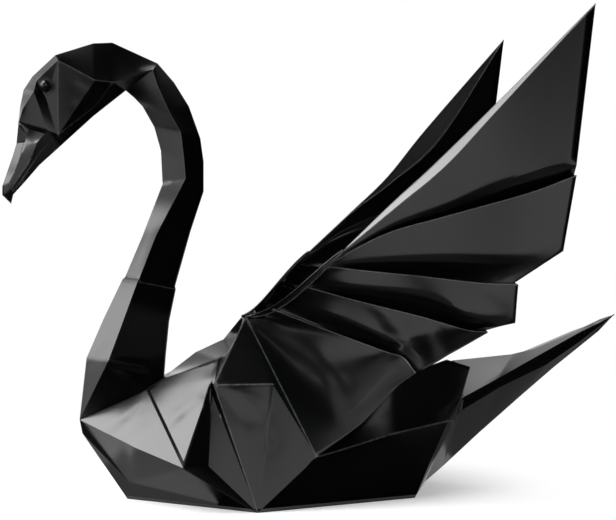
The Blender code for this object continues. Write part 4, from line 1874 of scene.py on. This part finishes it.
@dataclass
class Studio:
    """A pale floor, a white surround, soft lamps, cards and the camera.

    The camera stands at its distance from the pivot, turned by so many degrees towards the
    swan's front. Its focal length is in pixels of the picture and its sensor in millimetres;
    the other lengths are in metres.
    """

    image_width: int = 616
    focal_pixels: float = 1200.0
    turn: float = 16.9
    distance: float = 0.372
    nearest: float = 0.01
    sensor: float = 36.0
    floor_half: float = 4.0
    floor_colour: float = 0.82
    floor_lift: float = 0.36
    floor_near: float = 0.042
    floor_far: float = 0.095
    ambient: float = 0.20
    softboxes: tuple[Softbox, ...] = (
        Softbox("key softbox", -177, 54, 0.80, 0.43, 8.4),
        Softbox("neck softbox", 170, 22, 0.80, 0.45, 4.3),
        Softbox("beak softbox", -158, 21, 0.80, 0.23, 8.0),
        Softbox("back softbox", 97, 34, 0.80, 0.34, 2.3),
        Softbox("tail softbox", 42, 68, 0.30, 0.12, 2.2, (0.075, -0.005, 0.038)),
    )
    flags: tuple[Flag, ...] = (
        Flag("side card", (520.0, -700.0, 330.0), (-1.0, 0.0, 0.0), (2200.0, 900.0)),
        Flag("top card", (240.0, -250.0, 640.0), (0.0, 0.0, -1.0), (880.0, 620.0)),
        Flag("rear top card", (420.0, 160.0, 640.0), (0.0, 0.0, -1.0), (160.0, 200.0)),
        Flag("wing card", (-12.0, -17.0, 185.0), (1.0, 0.0, 0.0), (126.0, 270.0)),
        Flag("far wing card", (-12.0, -65.0, 370.0), (1.0, 0.0, 0.0), (210.0, 380.0)),
        Flag("cheek card", (-143.0, -120.0, 160.0), (0.57, 0.8, -0.3), (84.0, 60.0)),
        Flag("front floor card", (270.0, -236.0, 1.0), (0.0, 0.0, 1.0), (620.0, 428.0)),
        Flag("beak floor card", (-160.0, -461.0, 1.0), (0.0, 0.0, 1.0), (240.0, 878.0)),
        Flag("flank floor card", (-34.0, -7.0, 1.0), (0.0, 0.0, 1.0), (48.0, 30.0), 0.5),
        Flag("crown card", (-55.0, -10.0, 150.0), (0.0, 0.0, -1.0), (34.0, 100.0)),
        Flag("neck floor card", (20.0, -170.0, 2.0), (0.0, 0.0, 1.0), (120.0, 180.0), 0.14),
        Flag("throat floor card", (225.0, -150.0, 2.0), (0.0, 0.0, 1.0), (210.0, 150.0), 0.14),
        Flag("rear floor card", (320.0, 45.0, 1.0), (0.0, 0.0, 1.0), (500.0, 170.0), 0.15),
    )

    def camera(self) -> None:
        """The photograph's viewpoint: level, turned towards the swan's front."""
        data = bpy.data.cameras.new("camera")
        data.sensor_width = self.sensor
        data.lens = self.sensor * self.focal_pixels / self.image_width
        data.clip_start = self.nearest
        look = Vector((sin(radians(self.turn)), cos(radians(self.turn)), 0))
        camera = linked("camera", data)
        camera.location = Vector(PIVOT) - look * self.distance
        aim(camera, -look)
        bpy.context.scene.camera = camera

    def shown_white(self, board: Board) -> Wire:
        """1 for the rays that show the background white.

        Args:
            board: The board to add the nodes to.

        Returns:
            The wire, which is 1 for camera, mirror-like and through-going rays.
        """
        rays = board.node("ShaderNodeLightPath", {}, {})
        camera, glossy, through = (
            Wire(board, rays.outputs[name])
            for name in ("Is Camera Ray", "Is Glossy Ray", "Is Transmission Ray")
        )
        return camera.at_least(glossy).at_least(through)

    def surround(self) -> None:
        """The world: white where it is seen, softer as light."""
        world = bpy.data.worlds.new("surround")
        world.use_nodes = True
        bpy.context.scene.world = world
        board = Board(world.node_tree)
        strength = self.ambient + (1 - self.ambient) * self.shown_white(board)
        white = {"Color": (1, 1, 1, 1), "Strength": strength}
        glow = board.wire("ShaderNodeBackground", {}, white)
        board.node("ShaderNodeOutputWorld", {}, {"Surface": glow})

    def floor(self) -> None:
        """A pale floor that keeps the shadow near the swan and is plain white further away."""
        half = self.floor_half
        mesh = bpy.data.meshes.new("floor")
        places = [(-half, -half, 0), (half, -half, 0), (half, half, 0), (-half, half, 0)]
        mesh.from_pydata(places, [], [(0, 1, 2, 3)])
        floor = linked("floor", mesh)
        material, board = new_material("pale_floor")
        reach = board.wire(
            "ShaderNodeVectorMath", {"operation": "LENGTH"}, {0: board.object_place()}, "Value"
        )
        far = board.ramp(reach, self.floor_near, self.floor_far)
        seen = self.shown_white(board)
        pale = (self.floor_colour,) * 3 + (1,)
        matt = board.wire("ShaderNodeBsdfDiffuse", {}, {"Color": pale})
        lift = board.wire("ShaderNodeEmission", {}, {"Strength": seen * self.floor_lift})
        near = board.wire("ShaderNodeAddShader", {}, {0: matt, 1: lift})
        white = board.wire("ShaderNodeEmission", {}, {"Strength": seen})
        shader = board.wire("ShaderNodeMixShader", {}, {0: far * seen, 1: near, 2: white})
        board.node("ShaderNodeOutputMaterial", {}, {"Surface": shader})
        floor.data.materials.append(material)

    def build(self) -> None:
        """Sets up the whole studio."""
        self.camera()
        self.surround()
        self.floor()
        for softbox in self.softboxes:
            softbox.light()
        for flag in self.flags:
            flag.place()
        bpy.context.scene.view_settings.view_transform = "Standard"


def fit_out(piece: bpy.types.Object, node: str, finish: bpy.types.Material) -> None:
    """Gives a piece its material, hangs it under the root body and hides the CAD part that it
    stands for.

    Args:
        piece: The piece.
        node: The solid that it replaces.
        finish: The material.
    """
    piece.data.materials.append(finish)
    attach(piece, "root")
    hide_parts(node)
    LOG.info("%s: %d faces", piece.name, len(piece.data.polygons))


def main() -> None:
    """Builds the studio, the sheet and the two beads."""
    logging.basicConfig(level=logging.INFO)
    Studio().build()
    sheet = FoldedSheet()
    fit_out(sheet.build(), "folded_sheet", PaperFinish().material())
    bead = BeadFinish().material()
    for side in Side:
        piece = EyeBead(side, sheet.head).build()
        fit_out(piece, f"{side.name.lower()}_eye", bead)


if __name__ == "__main__":
    main()
